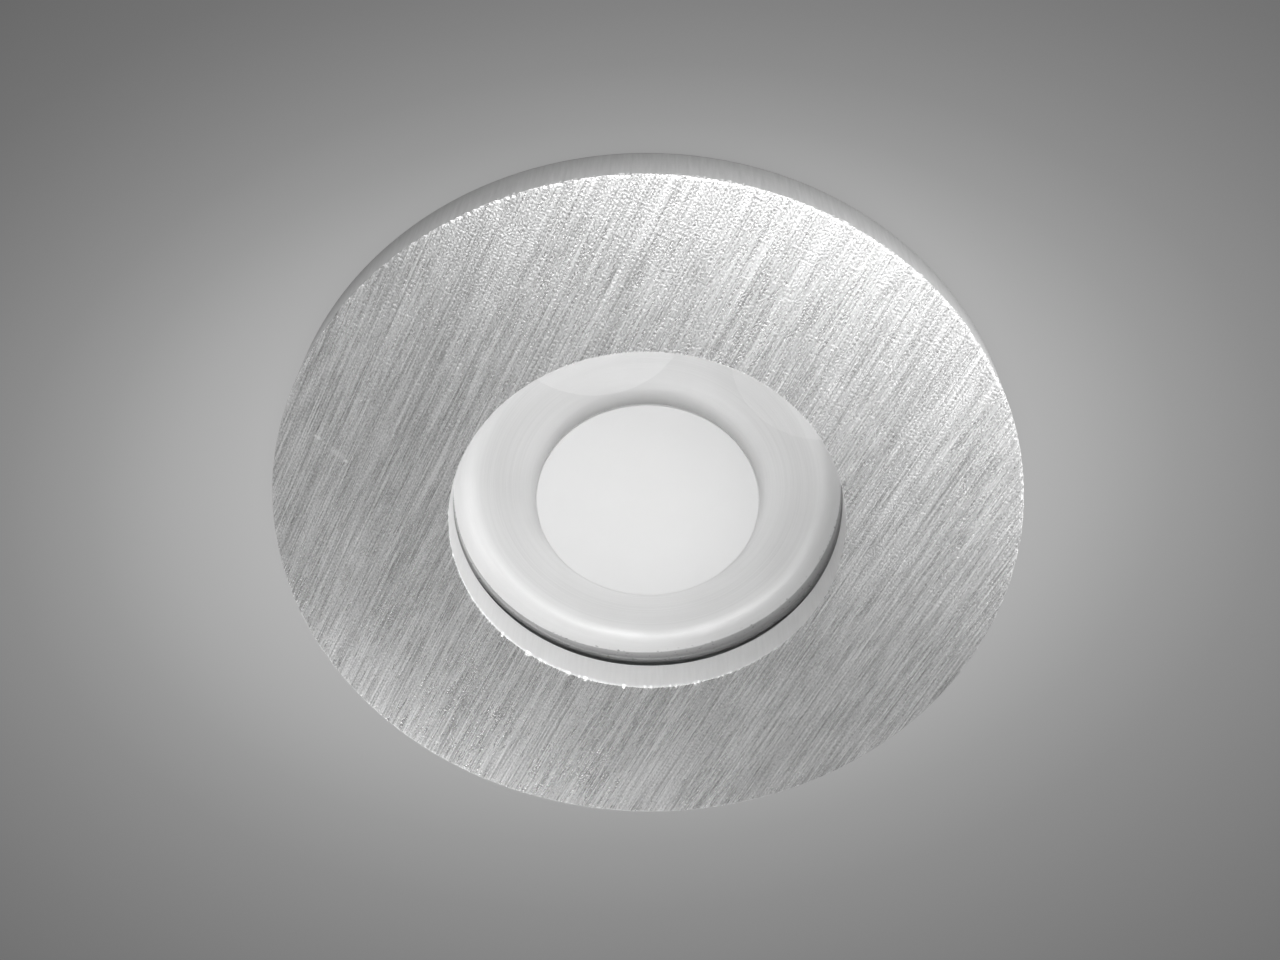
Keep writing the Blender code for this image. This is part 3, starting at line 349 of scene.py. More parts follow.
# %% Sizes
RING_RADIUS = 45.0 * MM
RING_DEPTH = 6.6 * MM
BORE_RADIUS = 23.9 * MM
LIP_DEPTH = 4.6 * MM
SEAT_RADIUS = 27.5 * MM
SEAL_RADIUS = 25.4 * MM  # inside the glass's seal
GROOVE_INNER = 39.1 * MM
GROOVE_OUTER = 43.9 * MM
GROOVE_FLOOR = 5.7 * MM
HOUSING_SCREW_CIRCLE = 31.5 * MM
CEILING = 7.1 * MM
PANEL_HOLE = RING_RADIUS - 0.3 * MM  # wider than the sawn hole, so that light reaches the gasket
GRAIN_ANGLE = math.radians(116)  # the brushing's direction on the face, from +X
SIDES = (("right", 1), ("left", -1))  # the two clips, and which way along X each points

low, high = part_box("bezel")
print(f"ring: radius {high.x / MM:.2f} mm, depth {(high.z - low.z) / MM:.2f} mm")

# %% [markdown]
# ## Brushed aluminium
#
# A belt sander leaves straight scratches a few millimetres long, with a few long ones between
# them and a fine grit everywhere. The grooves make the metal rough across the grain and smooth
# along it, so a highlight is drawn out sideways. A tangent from the piece's own map says which
# way the grain runs, and stretched noises make the scratches, so that they also show one by
# one. The turned walls of the ring keep the lathe's satin finish instead. The outer one gets
# darker towards the ceiling and ends in a painted shadow line, the shade of the gap there.


# %% The brushed finish
SCUFFS = (  # where handling has rubbed the face: x, y, turn, half length, half width, strength
    (-38.5, -12.7, 45, 0.62, 0.28, 1.0),
    (-36.5, -10.6, 46, 1.30, 0.45, 0.5),
    (-35.5, -9.5, 46, 0.40, 0.26, 0.9),
)


def strokes(tree, flat, across, along, lean):
    """Coordinates for long strokes. A noise is weakest at whole numbers, so each stroke is
    moved along against the next one, or the weak places would line up in bands."""
    apart = add(tree, "ShaderNodeSeparateXYZ", {0: flat})
    line = maths(tree, "DIVIDE", apart.outputs[0], across)
    place = maths(tree, "DIVIDE", apart.outputs[1], along)
    place = maths(tree, "MULTIPLY_ADD", line, lean, place)
    return add(tree, "ShaderNodeCombineXYZ", {0: line, 1: place, 2: 0.43}).outputs[0]


def scuffed(tree, place):
    """How much each point of the face is rubbed, from 0 to 1."""
    scuffs = 0.0
    for x, y, turn, length, width, strength in SCUFFS:
        size = (length * MM, width * MM, 1.0)
        reach = reach_in(tree, place, (x * MM, y * MM, 0.0), math.radians(turn), size)
        scuffs = maths(tree, "MAXIMUM", scuffs, remapped(tree, reach, 0.55, 1.1, strength, 0.0))
    patches = remapped(tree, grained(tree, place, 0.4, 2.0), 0.35, 0.6, 0.25, 1.0)
    return maths(tree, "MULTIPLY", scuffs, patches)


def make_brushed():
    look, tree, shader, place = new_look("brushed_aluminium")
    # The ring's own map is in millimetres: x across the grain, y along it.
    flat = add(tree, "ShaderNodeUVMap", uv_map="grain").outputs[0]
    lines = noise(tree, strokes(tree, flat, 0.16, 9.0, 0.37), detail=2.0, roughness=0.6)
    short = noise(tree, strokes(tree, flat, 0.26, 2.4, 0.29), detail=2.0, roughness=0.6)
    long_ones = noise(tree, strokes(tree, flat, 0.4, 50.0, 0.41), detail=3.0, roughness=0.7)
    grit = noise(tree, stretched(tree, flat, (0.20, 0.30, 0)), detail=1.0)
    drift = noise(tree, stretched(tree, flat, (9.0, 22.0, 0)), detail=2.0)
    bumped(tree, shader, summed(tree, (grit, 0.45), (short, 0.35), (lines, 0.5)), 0.070 * MM)

    tone = summed(tree, (long_ones, 0.24), (lines, 0.55), (short, 0.10), (grit, 0.38))
    metal = mixed(tree, remapped(tree, tone, 0.49, 0.76), 0.42, 0.94)
    scuffs = scuffed(tree, place)
    rough = remapped(tree, drift, 0.3, 0.7, 0.26, 0.32)
    rough = maths(tree, "ADD", rough, remapped(tree, short, 0.3, 0.7, -0.04, 0.05))
    tangent = add(tree, "ShaderNodeTangent", direction_type="UV_MAP", uv_map="grain")
    wire(tree, shader, {
        "Base Color": mixed(tree, scuffs, metal, 1.0),
        "Roughness": maths(tree, "MULTIPLY_ADD", scuffs, 0.12, rough),
        "Metallic": 1.0,
        "Anisotropic": 0.7,
        "Tangent": tangent.outputs[0],
    })
    return look


brushed = make_brushed()
print("finish:", brushed.name)


# %% The turned finish of the walls
def make_turned(name, dark, light, back_edge=None):
    look, tree, shader, place = new_look(name)
    # On the walls the map's x goes round the ring and its y along the ring's axis.
    flat = add(tree, "ShaderNodeUVMap", uv_map="grain").outputs[0]
    chatter = noise(tree, stretched(tree, flat, (0.45, 6.0, 0)), detail=3.0, roughness=0.6)
    cuts = noise(tree, stretched(tree, flat, (16.0, 0.10, 0)), detail=2.0)
    bumped(tree, shader, summed(tree, (cuts, 0.5), (chatter, 0.5)), 0.004 * MM)
    colour = mixed(tree, remapped(tree, chatter, 0.3, 0.7), dark, light)
    if back_edge:  # darker all the way up the wall, and a painted shadow line at its end
        depth = add(tree, "ShaderNodeSeparateXYZ", {0: place}).outputs[2]
        # The wall darkens towards the ceiling; the line at its end is a painted shadow of the gap
        # under the ceiling.
        towards_ceiling = remapped(tree, depth, 0.3 * MM, back_edge - 0.3 * MM, 0.0, 0.5)
        line = remapped(tree, depth, back_edge - 0.55 * MM, back_edge - 0.2 * MM, 0.0, 0.85)
        colour = mixed(tree, maths(tree, "MAXIMUM", towards_ceiling, line), colour, 0.10)
    rough = remapped(tree, cuts, 0.3, 0.7, 0.46, 0.54)
    wire(tree, shader, {"Base Color": colour, "Roughness": rough, "Metallic": 0.7})
    return look


# Two copies of one turned finish: the bore's is painted lighter and the outer wall's darker,
# painted light and shade for how each wall is lit.
bore_look = make_turned("turned_aluminium_bore", 0.71, 0.76)
side_look = make_turned("turned_aluminium", 0.50, 0.59, back_edge=RING_DEPTH)
print("finishes:", bore_look.name, side_look.name)

# %% [markdown]
# ## The ring
#
# The ring is one thick washer turned on a lathe: a face, a bore with a lip for the glass, and a
# groove at the back for the foam gasket. The brush drags tiny nicks and burrs over its edges.
# They are real geometry: the points of the two front edges move by a random amount that depends
# only on the place across the grain, so each nick sits at the end of a scratch. The burr at the
# bore is thinner and more even than the one at the outer edge.


# %% Turn the ring
EDGE_BAND = 0.4 * MM  # the nicks stay inside it, so that the face between is truly flat
NICK_DEPTH = 0.38 * MM
NICK_HEIGHT = 0.10 * MM  # how far up the walls they reach
NICK_WIDTH = 0.21  # of one nick, in millimetres across the grain
NICK_GROUP = 1.7  # of a run of stronger or weaker ones
FACE_TOP = 0.06 * MM  # higher up, a face of the ring is part of its walls or its back
SMALL_FACE = 0.02 * MM * MM  # smaller than this, a face belongs to an edge's rounding
WALL_MAP_START = 200.0  # keeps the walls' map clear of the face's
HOLE_RADIUS = 1.8 * MM


def ring_outline():
    corners = [
        (BORE_RADIUS, EDGE_BAND, 0.0),
        (BORE_RADIUS, 0.0, 0.03 * MM),
        (BORE_RADIUS + EDGE_BAND, 0.0, 0.0),
        (RING_RADIUS - EDGE_BAND, 0.0, 0.0),
        (RING_RADIUS, 0.0, 0.03 * MM),
        (RING_RADIUS, EDGE_BAND, 0.0),
        (RING_RADIUS, RING_DEPTH, 0.25 * MM),
        (GROOVE_OUTER, RING_DEPTH, 0.08 * MM),
        (GROOVE_OUTER, GROOVE_FLOOR, 0.12 * MM),
        (GROOVE_INNER, GROOVE_FLOOR, 0.12 * MM),
        (GROOVE_INNER, RING_DEPTH, 0.08 * MM),
        (SEAT_RADIUS, RING_DEPTH, 0.15 * MM),
        (SEAT_RADIUS, LIP_DEPTH, 0.12 * MM),
        (BORE_RADIUS, LIP_DEPTH, 0.15 * MM),
    ]
    return softened(corners)


def across_and_along(x, y):
    """A place on the face, in millimetres across the grain and along it."""
    c, s = math.cos(GRAIN_ANGLE), math.sin(GRAIN_ANGLE)
    return (x * s - y * c) / MM, (x * c + y * s) / MM


def nick_edges(piece, seed=7):
    """Move the points of the two front edges by what the brush did at that place."""
    chance = np.random.default_rng(seed)
    table = chance.random((2, 4096)) ** 3
    slow = chance.random(512)
    for vertex in piece.data.vertices:
        x, y, z = vertex.co
        radius = math.hypot(x, y)
        outer = radius > RING_RADIUS - 0.2 * MM
        bore = radius < BORE_RADIUS + 0.2 * MM
        if z > NICK_HEIGHT or not (outer or bore):
            continue
        across, along = across_and_along(x, y)
        nicks = table[int(along > 0)]
        cell = (across + 60) / NICK_WIDTH
        here = math.floor(cell)
        share = cell - here
        nick = nicks[here] * (1 - share) + nicks[here + 1] * share
        nick *= 0.4 + 0.9 * slow[int((across + 60) / NICK_GROUP)]
        if bore:
            nick = 0.15 + 0.65 * nick
        # The burr is highest where the brush runs off the metal.
        leaving = (along if bore else -along) / math.hypot(across, along)
        near_edge = 1.0 - min(1.0, z / NICK_HEIGHT)
        move = NICK_DEPTH * nick * (0.08 + 0.92 * max(0.0, leaving)) * (0.35 + 0.65 * near_edge)
        moved = radius - move if outer else radius + move
        vertex.co = (x * moved / radius, y * moved / radius, z + 0.2 * move * near_edge)


def map_grain(piece):
    """A map in millimetres, across the grain first. On the turned walls the grain is axial."""
    layer = piece.data.uv_layers.new(name="grain")
    for face in piece.data.polygons:
        flat = abs(face.normal.z) > 0.5
        middle = math.atan2(face.center.y, face.center.x)
        radius = math.hypot(face.center.x, face.center.y)
        for corner in face.loop_indices:
            x, y, z = piece.data.vertices[piece.data.loops[corner].vertex_index].co
            if flat:
                layer.data[corner].uv = across_and_along(x, y)
            else:
                angle = middle + math.remainder(math.atan2(y, x) - middle, FULL_TURN)
                layer.data[corner].uv = (angle * radius / MM, z / MM + WALL_MAP_START)


def screw_holes(count=3, bottom=3 * MM, top=9 * MM):
    """A cutter for the blind holes of the housing screws."""
    bm = bmesh.new()
    for step in range(count):
        angle = math.radians(90) + FULL_TURN * step / count
        x, y = HOUSING_SCREW_CIRCLE * math.cos(angle), HOUSING_SCREW_CIRCLE * math.sin(angle)
        bmesh.ops.create_cone(
            bm, cap_ends=True, segments=32, radius1=HOLE_RADIUS, radius2=HOLE_RADIUS,
            depth=top - bottom, matrix=Matrix.Translation((x, y, (bottom + top) / 2)),
        )
    return keep_mesh(bm, "ring_holes")


def cut(piece, cutter):
    """Take the cutter's shape out of the piece, and the cutter out of the scene."""
    modifier = piece.modifiers.new("cut", "BOOLEAN")
    modifier.operation = "DIFFERENCE"
    modifier.solver = "EXACT"
    modifier.object = cutter
    applied(piece)
    bpy.data.objects.remove(cutter)


ring = turned("ceiling_ring", ring_outline(), segments=1600)
nick_edges(ring)
cut(ring, screw_holes())
map_grain(ring)
set_look(ring, brushed, bore_look, side_look)
for face in ring.data.polygons:
    if face.center.z > FACE_TOP:
        face.material_index = 1 if face.center.xy.length < SEAT_RADIUS else 2
    face.use_smooth = face.area < SMALL_FACE
fitted(ring, "lamp", "brushed_aluminium", "bezel")

# %% [markdown]
# ## Glass, frosted disc and seal
#
# The front glass is a flat clear pane behind the lip, and a frosted disc is glued to its inner
# side, where it softens the light. Light would reach the inside through real glass only by
# chance. So what is seen goes through real glass with its bend and gloss, and the rays that
# carry light to and from the inside pass straight through.


# %% Glass pane
def make_glass():
    look, tree, shader, place = new_look("clear_glass")
    haze = remapped(tree, grained(tree, place, 6, 3.0), 0.4, 0.8, 0.0, 0.03)
    wire(tree, shader, {"Base Color": rgba(0.98), "Roughness": haze})
    wire(tree, shader, {"Transmission Weight": 1.0, "IOR": 1.5})
    clear = add(tree, "ShaderNodeBsdfTransparent", {"Color": rgba(0.94)})
    ray = tree.nodes.new("ShaderNodeLightPath")
    lighting = maths(tree, "MAXIMUM", ray.outputs["Is Diffuse Ray"], ray.outputs["Is Glossy Ray"])
    lighting = maths(tree, "MAXIMUM", ray.outputs["Is Shadow Ray"], lighting)
    show(tree, either(tree, lighting, shader, clear))
    return look


glass = make_glass()
plate("glass_pane", "front_glass", glass, "clear_glass", 160, below=0.2 * MM, above=0.2 * MM)

# %% Frosted disc
frosted = plain_finish(
    "frosted_white", cloud=(5, 2, 0.0, 1.0), tones=(0.86, 0.89), grain=(0.12, 2),
    rough=(0.48, 0.62), depth=0.006, constants={"Transmission Weight": 0.2, "IOR": 1.45},
)
plate(
    "frosted_disc", "diffuser_disc", frosted, "frosted_white", 144,
    below=0.1 * MM, above=0.25 * MM,
)

# %% Rubber seal behind the glass
rubber = plain_finish(
    "black_rubber", cloud=(2.5, 4, 0.5, 0.75), tones=((0.03, 0.03, 0.031), 0.075),
    grain=(0.25, 3), rough=(0.55, 0.75), depth=0.012,
)
plate(
    "pane_seal", "glass_seal", rubber, "black_rubber", 120,
    below=0.2 * MM, above=0.2 * MM, inner=SEAL_RADIUS,
)

# %% [markdown]
# ## The spun dish
#
# The reflector is a disc of bright aluminium pressed over a former while both spin. That
# leaves a rounded corner, a slightly rolled rim and very fine rings round the axis. The rings
# are a noise that depends on the radius, and the tangent is radial, so highlights open like
# a fan as they do on a spun pan. A band of painted shade runs along the rim, darkest at the rim
# itself and wider on one side than on the other, with a few dark specks above it.

# %% Sizes of the dish
low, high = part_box("reflector_dish")
DISH_RIM = low.z
DISH_BACK = high.z
DISH_WALL = 0.7 * MM
DISH_FLOOR = DISH_BACK - DISH_WALL
DISH_CORNER = 3.0 * MM
DISH_EYE = 8.0 * MM  # radius of the hole that the light comes through
DISH_LIP = 0.15 * MM  # rounding of the rim
EYE_LIP = 0.1 * MM  # and of the hole's edge
RING_WIDTH = 0.16 * MM  # of one turning line
RIM_SHADE_HEIGHT = 1.13 * MM  # how far up from the rim the painted shade band reaches
RIM_SHADE_LEAN = (0.040, 0.046, 0.0)  # and how that grows to one side, in metres a metre
print(f"dish: {(DISH_BACK - DISH_RIM) / MM:.2f} mm deep")


# %% Spun finish
def painted_rim_shade(tree, place, metal, above):
    """The metal with a painted shade band by the rim, and dark specks just above the band."""
    edge = DISH_RIM + RIM_SHADE_HEIGHT
    # Painted shade: a dark band by the rim, deepest next to the rim.
    band = remapped(tree, above, edge, edge + 0.25 * MM, 1.0, 0.0)
    shade = remapped(tree, above, edge - 1.6 * MM, edge, 0.82, 0.55)
    metal = mixed(tree, maths(tree, "MULTIPLY", band, shade), metal, 0.12)
    near_rim = remapped(tree, above, edge + 0.2 * MM, edge + 0.7 * MM, 0.7, 0.0)
    speck = remapped(tree, grained(tree, place, 0.45, 1.0), 0.66, 0.72)
    return mixed(tree, maths(tree, "MULTIPLY", speck, near_rim), metal, 0.12)


def make_spun():
    look, tree, shader, place = new_look("spun_aluminium")
    x, y, z = add(tree, "ShaderNodeSeparateXYZ", {0: place}).outputs
    flat = add(tree, "ShaderNodeCombineXYZ", {0: x, 1: y}).outputs[0]
    radius = vector_maths(tree, "LENGTH", flat).outputs[1]
    around = {
        0: maths(tree, "DIVIDE", radius, RING_WIDTH),
        1: maths(tree, "SINE", maths(tree, "ARCTAN2", y, x)),
        2: maths(tree, "DIVIDE", z, RING_WIDTH),
    }
    around = add(tree, "ShaderNodeCombineXYZ", around).outputs[0]
    rings = noise(tree, around, detail=3.0, roughness=0.6)
    smudge = grained(tree, place, 5, 3.0)
    bumped(tree, shader, rings, 0.010 * MM)

    metal = mixed(tree, remapped(tree, rings, 0.3, 0.7), 0.69, 0.76)
    # Painted light: the floor near the eye is painted paler, filling in the disc's shadow; it is
    # also less metallic there.
    satin_and_painted_light = remapped(tree, radius, 11.0 * MM, 18.0 * MM, 1.0, 0.0)
    metal = mixed(tree, satin_and_painted_light, metal, 0.95)
    # Painted highlight: the rounded corner by the wall is painted paler where the highlight runs.
    corner = remapped(tree, radius, 20.3 * MM, 21.8 * MM, 0.0, 0.6)
    metal = mixed(tree, corner, metal, 0.92)

    leaning = vector_maths(tree, "DOT_PRODUCT", flat, RIM_SHADE_LEAN).outputs[1]
    above = maths(tree, "SUBTRACT", z, leaning)
    above = maths(tree, "MULTIPLY_ADD", smudge, 0.3 * MM, above)
    tangent = add(tree, "ShaderNodeTangent", direction_type="RADIAL", axis="Z")
    wire(tree, shader, {
        "Base Color": painted_rim_shade(tree, place, metal, above),
        "Roughness": remapped(tree, smudge, 0.3, 0.7, 0.50, 0.58),
        "Metallic": remapped(tree, satin_and_painted_light, 0.0, 1.0, 0.55, 0.15),
        "Anisotropic": 0.3,
        "Anisotropic Rotation": 0.25,
        "Tangent": tangent.outputs[0],
    })
    return look


spun = make_spun()
print("finish:", spun.name)


# %% Turn the dish
def dish_corner(reach, steps=14):
    """A quarter circle from the wall to the floor, at that reach from the corner's middle."""
    x, z = BORE_RADIUS - DISH_CORNER, DISH_FLOOR - DISH_CORNER
    angles = [math.radians(90) * step / steps for step in range(steps + 1)]
    return [(x + reach * math.cos(angle), z + reach * math.sin(angle)) for angle in angles]


def dish_outline():
    """Rim, wall, rounded corner and floor inside, then the same again outside."""
    return [
        (BORE_RADIUS + DISH_LIP, DISH_RIM),
        (BORE_RADIUS, DISH_RIM + DISH_LIP),
        *dish_corner(DISH_CORNER),
        (DISH_EYE + EYE_LIP, DISH_FLOOR),
        (DISH_EYE, DISH_FLOOR + EYE_LIP),
        (DISH_EYE, DISH_BACK - EYE_LIP),
        (DISH_EYE + EYE_LIP, DISH_BACK),
        *reversed(dish_corner(DISH_CORNER + DISH_WALL)),
        (BORE_RADIUS + DISH_WALL, DISH_RIM + DISH_LIP),
        (BORE_RADIUS + DISH_WALL - DISH_LIP, DISH_RIM),
    ]


dish = turned("spun_dish", dish_outline(), segments=256)
set_look(dish, spun)
fitted(dish, "lamp", "spun_aluminium", "reflector_dish")

# %% [markdown]
# ## Pieces that keep the model's shape
#
# The cast and folded pieces already have their right shape. Their meshes are copied, merged
# and given small rounded edges. The bevel puts its own faces in a second material slot, so
# that the edges can be a little brighter, as handled metal is.


# %% Rounded copies
BEVEL_ANGLE = math.radians(32)  # edges sharper than this are rounded


def refined(name, node, body, slot, looks, rounding, steps=2):
    """A finished copy of a node's mesh, its points merged and its edges rounded."""
    bm = bmesh.new()
    bm.from_mesh(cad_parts[node].data)
    bmesh.ops.remove_doubles(bm, verts=bm.verts, dist=0.002 * MM)
    bmesh.ops.dissolve_limit(
        bm, angle_limit=math.radians(0.6), verts=bm.verts, edges=bm.edges, delimit=set()
    )
    piece = keep_mesh(bm, name)
    set_look(piece, *looks)
    bevel = piece.modifiers.new("edges", "BEVEL")
    bevel.width = rounding
    bevel.segments = steps
    bevel.limit_method = "ANGLE"
    bevel.angle_limit = BEVEL_ANGLE
    bevel.miter_outer = "MITER_ARC"
    bevel.harden_normals = True
    bevel.material = len(looks) - 1
    fitted(applied(piece), body, slot, node)


# %% [markdown]
# ## Cast aluminium
#
# The body is die-cast and shot-blasted: a fine even roughness, soft cloudy patches where the
# melt cooled, and small bright rubs on the edges of the fins.


# %% Cast finish
def make_cast(name, dark, light, rough):
    look, tree, shader, place = new_look(name)
    blast = grained(tree, place, 0.22, 3.0)
    pits = grained(tree, place, 0.8, 2.0)
    cloud = grained(tree, place, (7, 7, 11), 4.0)
    bumped(tree, shader, summed(tree, (pits, 0.6), (blast, 0.6)), 0.05 * MM)
    tone = summed(tree, (blast, 0.25), (cloud, 0.75))
    wire(tree, shader, {
        "Base Color": mixed(tree, remapped(tree, tone, 0.34, 0.66), dark, light),
        "Roughness": remapped(tree, tone, 0.3, 0.7, rough, rough + 0.14),
        "Metallic": 1.0,
    })
    return look


cast = make_cast("cast_aluminium", (0.40, 0.405, 0.41), (0.56, 0.565, 0.57), rough=0.50)
cast_edge = make_cast("cast_aluminium_edge", (0.62, 0.62, 0.63), 0.80, rough=0.30)
refined("cast_body", "heat_sink", "lamp", "cast_aluminium", (cast, cast_edge), 0.22 * MM)

# %% [markdown]
# ## Zinc-plated sheet
#
# The brackets and arms are cut and folded from thin sheet and then plated. The plating shows
# a faint spangle, the rolling direction of the sheet under it, and bare brighter edges.


# %% Plated finish
def make_zinc(name, dark, light, rough):
    look, tree, shader, place = new_look(name)
    spangle = cells(tree, place, 1.3, "Color")
    spangle = add(tree, "ShaderNodeSeparateColor", {0: spangle}).outputs[0]
    rolled = grained(tree, place, (9, 0.16, 0.16), 3.0)
    cloud = grained(tree, place, 3, 3.0)
    tone = summed(tree, (cloud, 0.5), (spangle, 0.22), (rolled, 0.3))
    wire(tree, shader, {
        "Base Color": mixed(tree, remapped(tree, tone, 0.32, 0.70), dark, light),
        "Roughness": remapped(tree, tone, 0.3, 0.7, rough + 0.10, rough),
        "Metallic": 1.0,
    })
    bumped(tree, shader, rolled, 0.012 * MM)
    return look


zinc = make_zinc("zinc_steel", (0.50, 0.515, 0.53), (0.68, 0.69, 0.70), rough=0.30)
zinc_edge = make_zinc("zinc_steel_edge", (0.66, 0.665, 0.67), 0.82, rough=0.22)
sheet = {"slot": "zinc_steel", "looks": (zinc, zinc_edge), "rounding": 0.14 * MM}
for side, _ in SIDES:
    refined(f"folded_bracket_{side}", f"clip_bracket_{side}", "lamp", **sheet)
    refined(f"pressed_arm_{side}", f"clip_arm_{side}", f"{side}_clip", **sheet)

# %% Soft sleeves on the arms' tips
sleeve_look = plain_finish(
    "soft_plastic", cloud=(2, 3, 0.35, 0.65), tones=((0.60, 0.60, 0.585), (0.72, 0.72, 0.705)),
    grain=(0.3, 3), rough=(0.42, 0.58), depth=0.012,
    constants={
        "Subsurface Weight": 0.15, "Subsurface Radius": (1, 1, 1), "Subsurface Scale": 0.4 * MM
    },
)
soft = {"slot": "soft_plastic", "looks": (sleeve_look,), "rounding": 0.3 * MM, "steps": 4}
for side, _ in SIDES:
    refined(f"tip_sleeve_{side}", f"clip_pad_{side}", f"{side}_clip", **soft)

# %% [markdown]
# ## Screws and rivets
#
# Seven screws hold the lamp together, and two more the board: the same turned pan head with a
# hexagon socket, in three sizes. One screw of each size is made, and a Geometry Nodes tree sets
# copies of it on points, each turned to the direction stored on its point.

# %% Screw finish
screw_look = plain_finish(
    "screw_steel", cloud=(1.4, 3, 0.35, 0.65), tones=((0.46, 0.46, 0.47), (0.66, 0.66, 0.67)),
    grain=(0.12, 3), rough=(0.22, 0.36), depth=0.008, constants={"Metallic": 1.0},
)


# %% The tree that sets screws on points
def group_with(name, inputs):
    """A Geometry Nodes group with named inputs and a geometry output."""
    group = bpy.data.node_groups.new(name, "GeometryNodeTree")
    sockets = [(label, "INPUT", kind) for label, kind in inputs.items()]
    for label, way, kind in [*sockets, ("Geometry", "OUTPUT", "Geometry")]:
        group.interface.new_socket(name=label, in_out=way, socket_type=f"NodeSocket{kind}")
    start = group.nodes.new("NodeGroupInput")
    end = group.nodes.new("NodeGroupOutput")
    return group, start, end


def grown(name, source, group, values):
    """Run the tree on the source object and keep the result as a plain mesh of its own."""
    modifier = source.modifiers.new(name, "NODES")
    modifier.node_group = group
    for item in group.interface.items_tree:
        if item.in_out == "INPUT" and item.name in values:
            modifier[item.identifier] = values[item.name]
    mesh = final_mesh(source, name)
    bpy.data.objects.remove(source)
    return new_object(name, mesh)


def painted(group, geometry, start, end):
    """The last step of a tree: realize the instances and set the finish."""
    real = add(group, "GeometryNodeRealizeInstances", {0: geometry})
    inputs = {"Geometry": real.outputs[0], "Material": start.outputs["Finish"]}
    wire(group, end, {0: add(group, "GeometryNodeSetMaterial", inputs).outputs[0]})


def screw_tree():
    sockets = {"Points": "Geometry", "Screw": "Object", "Finish": "Material"}
    group, start, end = group_with("screws_on_points", sockets)
    screw = add(group, "GeometryNodeObjectInfo", {"Object": start.outputs["Screw"]})
    facing = add(
        group, "GeometryNodeInputNamedAttribute", {"Name": "facing"}, data_type="FLOAT_VECTOR"
    ).outputs[0]
    turn = add(group, "FunctionNodeAlignRotationToVector", {"Vector": facing}, axis="Z")
    inputs = {
        "Points": start.outputs["Points"],
        "Instance": screw.outputs["Geometry"],
        "Rotation": turn.outputs[0],
    }
    placed = add(group, "GeometryNodeInstanceOnPoints", inputs)
    painted(group, placed.outputs[0], start, end)
    return group


screws_on_points = screw_tree()


# %% One screw of a size
def make_screw(name, head_radius, head_height, radius, length):
    """Head up, its seat at zero: a pan head with a hexagon socket and a pointed shank."""
    corners = [
        (0.0, head_height, 0.0),
        (head_radius, head_height, head_height * 0.45),
        (head_radius, 0.0, head_height * 0.10),
        (radius, 0.0, 0.08 * MM),
        (radius, -length, 0.35 * MM),
        (0.0, -length, 0.0),
    ]
    screw = turned(name, softened(corners, steps=5), segments=40, on_axis=True)
    bm = bmesh.new()
    deep = head_height * 0.62
    bmesh.ops.create_cone(
        bm, cap_ends=True, segments=6, radius1=head_radius * 0.50, radius2=head_radius * 0.54,
        depth=deep * 2, matrix=Matrix.Translation((0.0, 0.0, head_height)),
    )
    cut(screw, keep_mesh(bm, f"{name}_socket"))
    screw.data.shade_smooth()
    screw.data.set_sharp_from_angle(angle=SMOOTH_ANGLE)
    return screw


def seat_of(node, way, head_height):
    """Where a screw's head seats, read from its node's box."""
    low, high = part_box(node)
    middle = (low + high) / 2
    top = max(low.dot(way), high.dot(way))
    across = middle - way * middle.dot(way)
    return across + way * (top - head_height)


def set_screws(name, nodes, facing, size):
    """Copies of one screw, their heads seated where the nodes have theirs."""
    way = Vector(facing)
    mesh = bpy.data.meshes.new(f"{name}_points")
    mesh.from_pydata([seat_of(node, way, head_height=size[1]) for node in nodes], [], [])
    stored = mesh.attributes.new("facing", "FLOAT_VECTOR", "POINT")
    for value in stored.data:
        value.vector = way
    points = new_object(f"{name}_points", mesh)
    screw = make_screw(f"{name}_one", *size)
    made = grown(name, points, screws_on_points, {"Screw": screw, "Finish": screw_look})
    bpy.data.objects.remove(screw)
    fitted(made, "lamp", "screw_steel", *nodes)


def numbered(name, count):
    return [f"{name}_{number}" for number in range(1, count + 1)]


# Radius and height of the head, radius and length of the shank.
HOUSING_SCREW = (2.7 * MM, 1.8 * MM, 1.5 * MM, 6.4 * MM)
BOARD_SCREW = (2.0 * MM, 0.8 * MM, 1.25 * MM, 4.8 * MM)
BRACKET_SCREW = (2.2 * MM, 1.5 * MM, 1.3 * MM, 6.5 * MM)
set_screws("housing_screws", numbered("housing_screw", 3), (0, 0, 1), HOUSING_SCREW)
set_screws("board_screws", numbered("board_screw", 2), (0, 0, -1), BOARD_SCREW)
for side, way in SIDES:
    nodes = numbered(f"bracket_screw_{side}", 2)
    set_screws(f"bracket_screws_{side}", nodes, (way, 0, 0), BRACKET_SCREW)

# %% Rivets through the clips
RIVET_SHANK = 1.5 * MM
RIVET_HEAD_HEIGHT = 0.8 * MM


def make_rivet(side):
    low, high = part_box(f"clip_pin_{side}")
    end = (high.y - low.y) / 2
    head = (high.x - low.x) / 2
    shoulder = end - RIVET_HEAD_HEIGHT
    corners = [
        (0.0, end, 0.0),
        (head, end, 0.5 * MM),
        (head, shoulder, 0.06 * MM),
        (RIVET_SHANK, shoulder, 0.0),
    ]
    corners += [(radius, -height, rounding) for radius, height, rounding in reversed(corners)]
    rivet = turned(f"rivet_{side}", softened(corners, steps=5), segments=48, on_axis=True)
    middle = (low + high) / 2
    rivet.data.transform(Matrix.Translation(middle) @ Matrix.Rotation(math.radians(90), 4, "X"))
    set_look(rivet, screw_look)
    fitted(rivet, "lamp", "screw_steel", f"clip_pin_{side}")
    print(f"rivet {side}: axis at x {middle.x / MM:.2f}, z {middle.z / MM:.2f} mm")


for side, _ in SIDES:
    make_rivet(side)
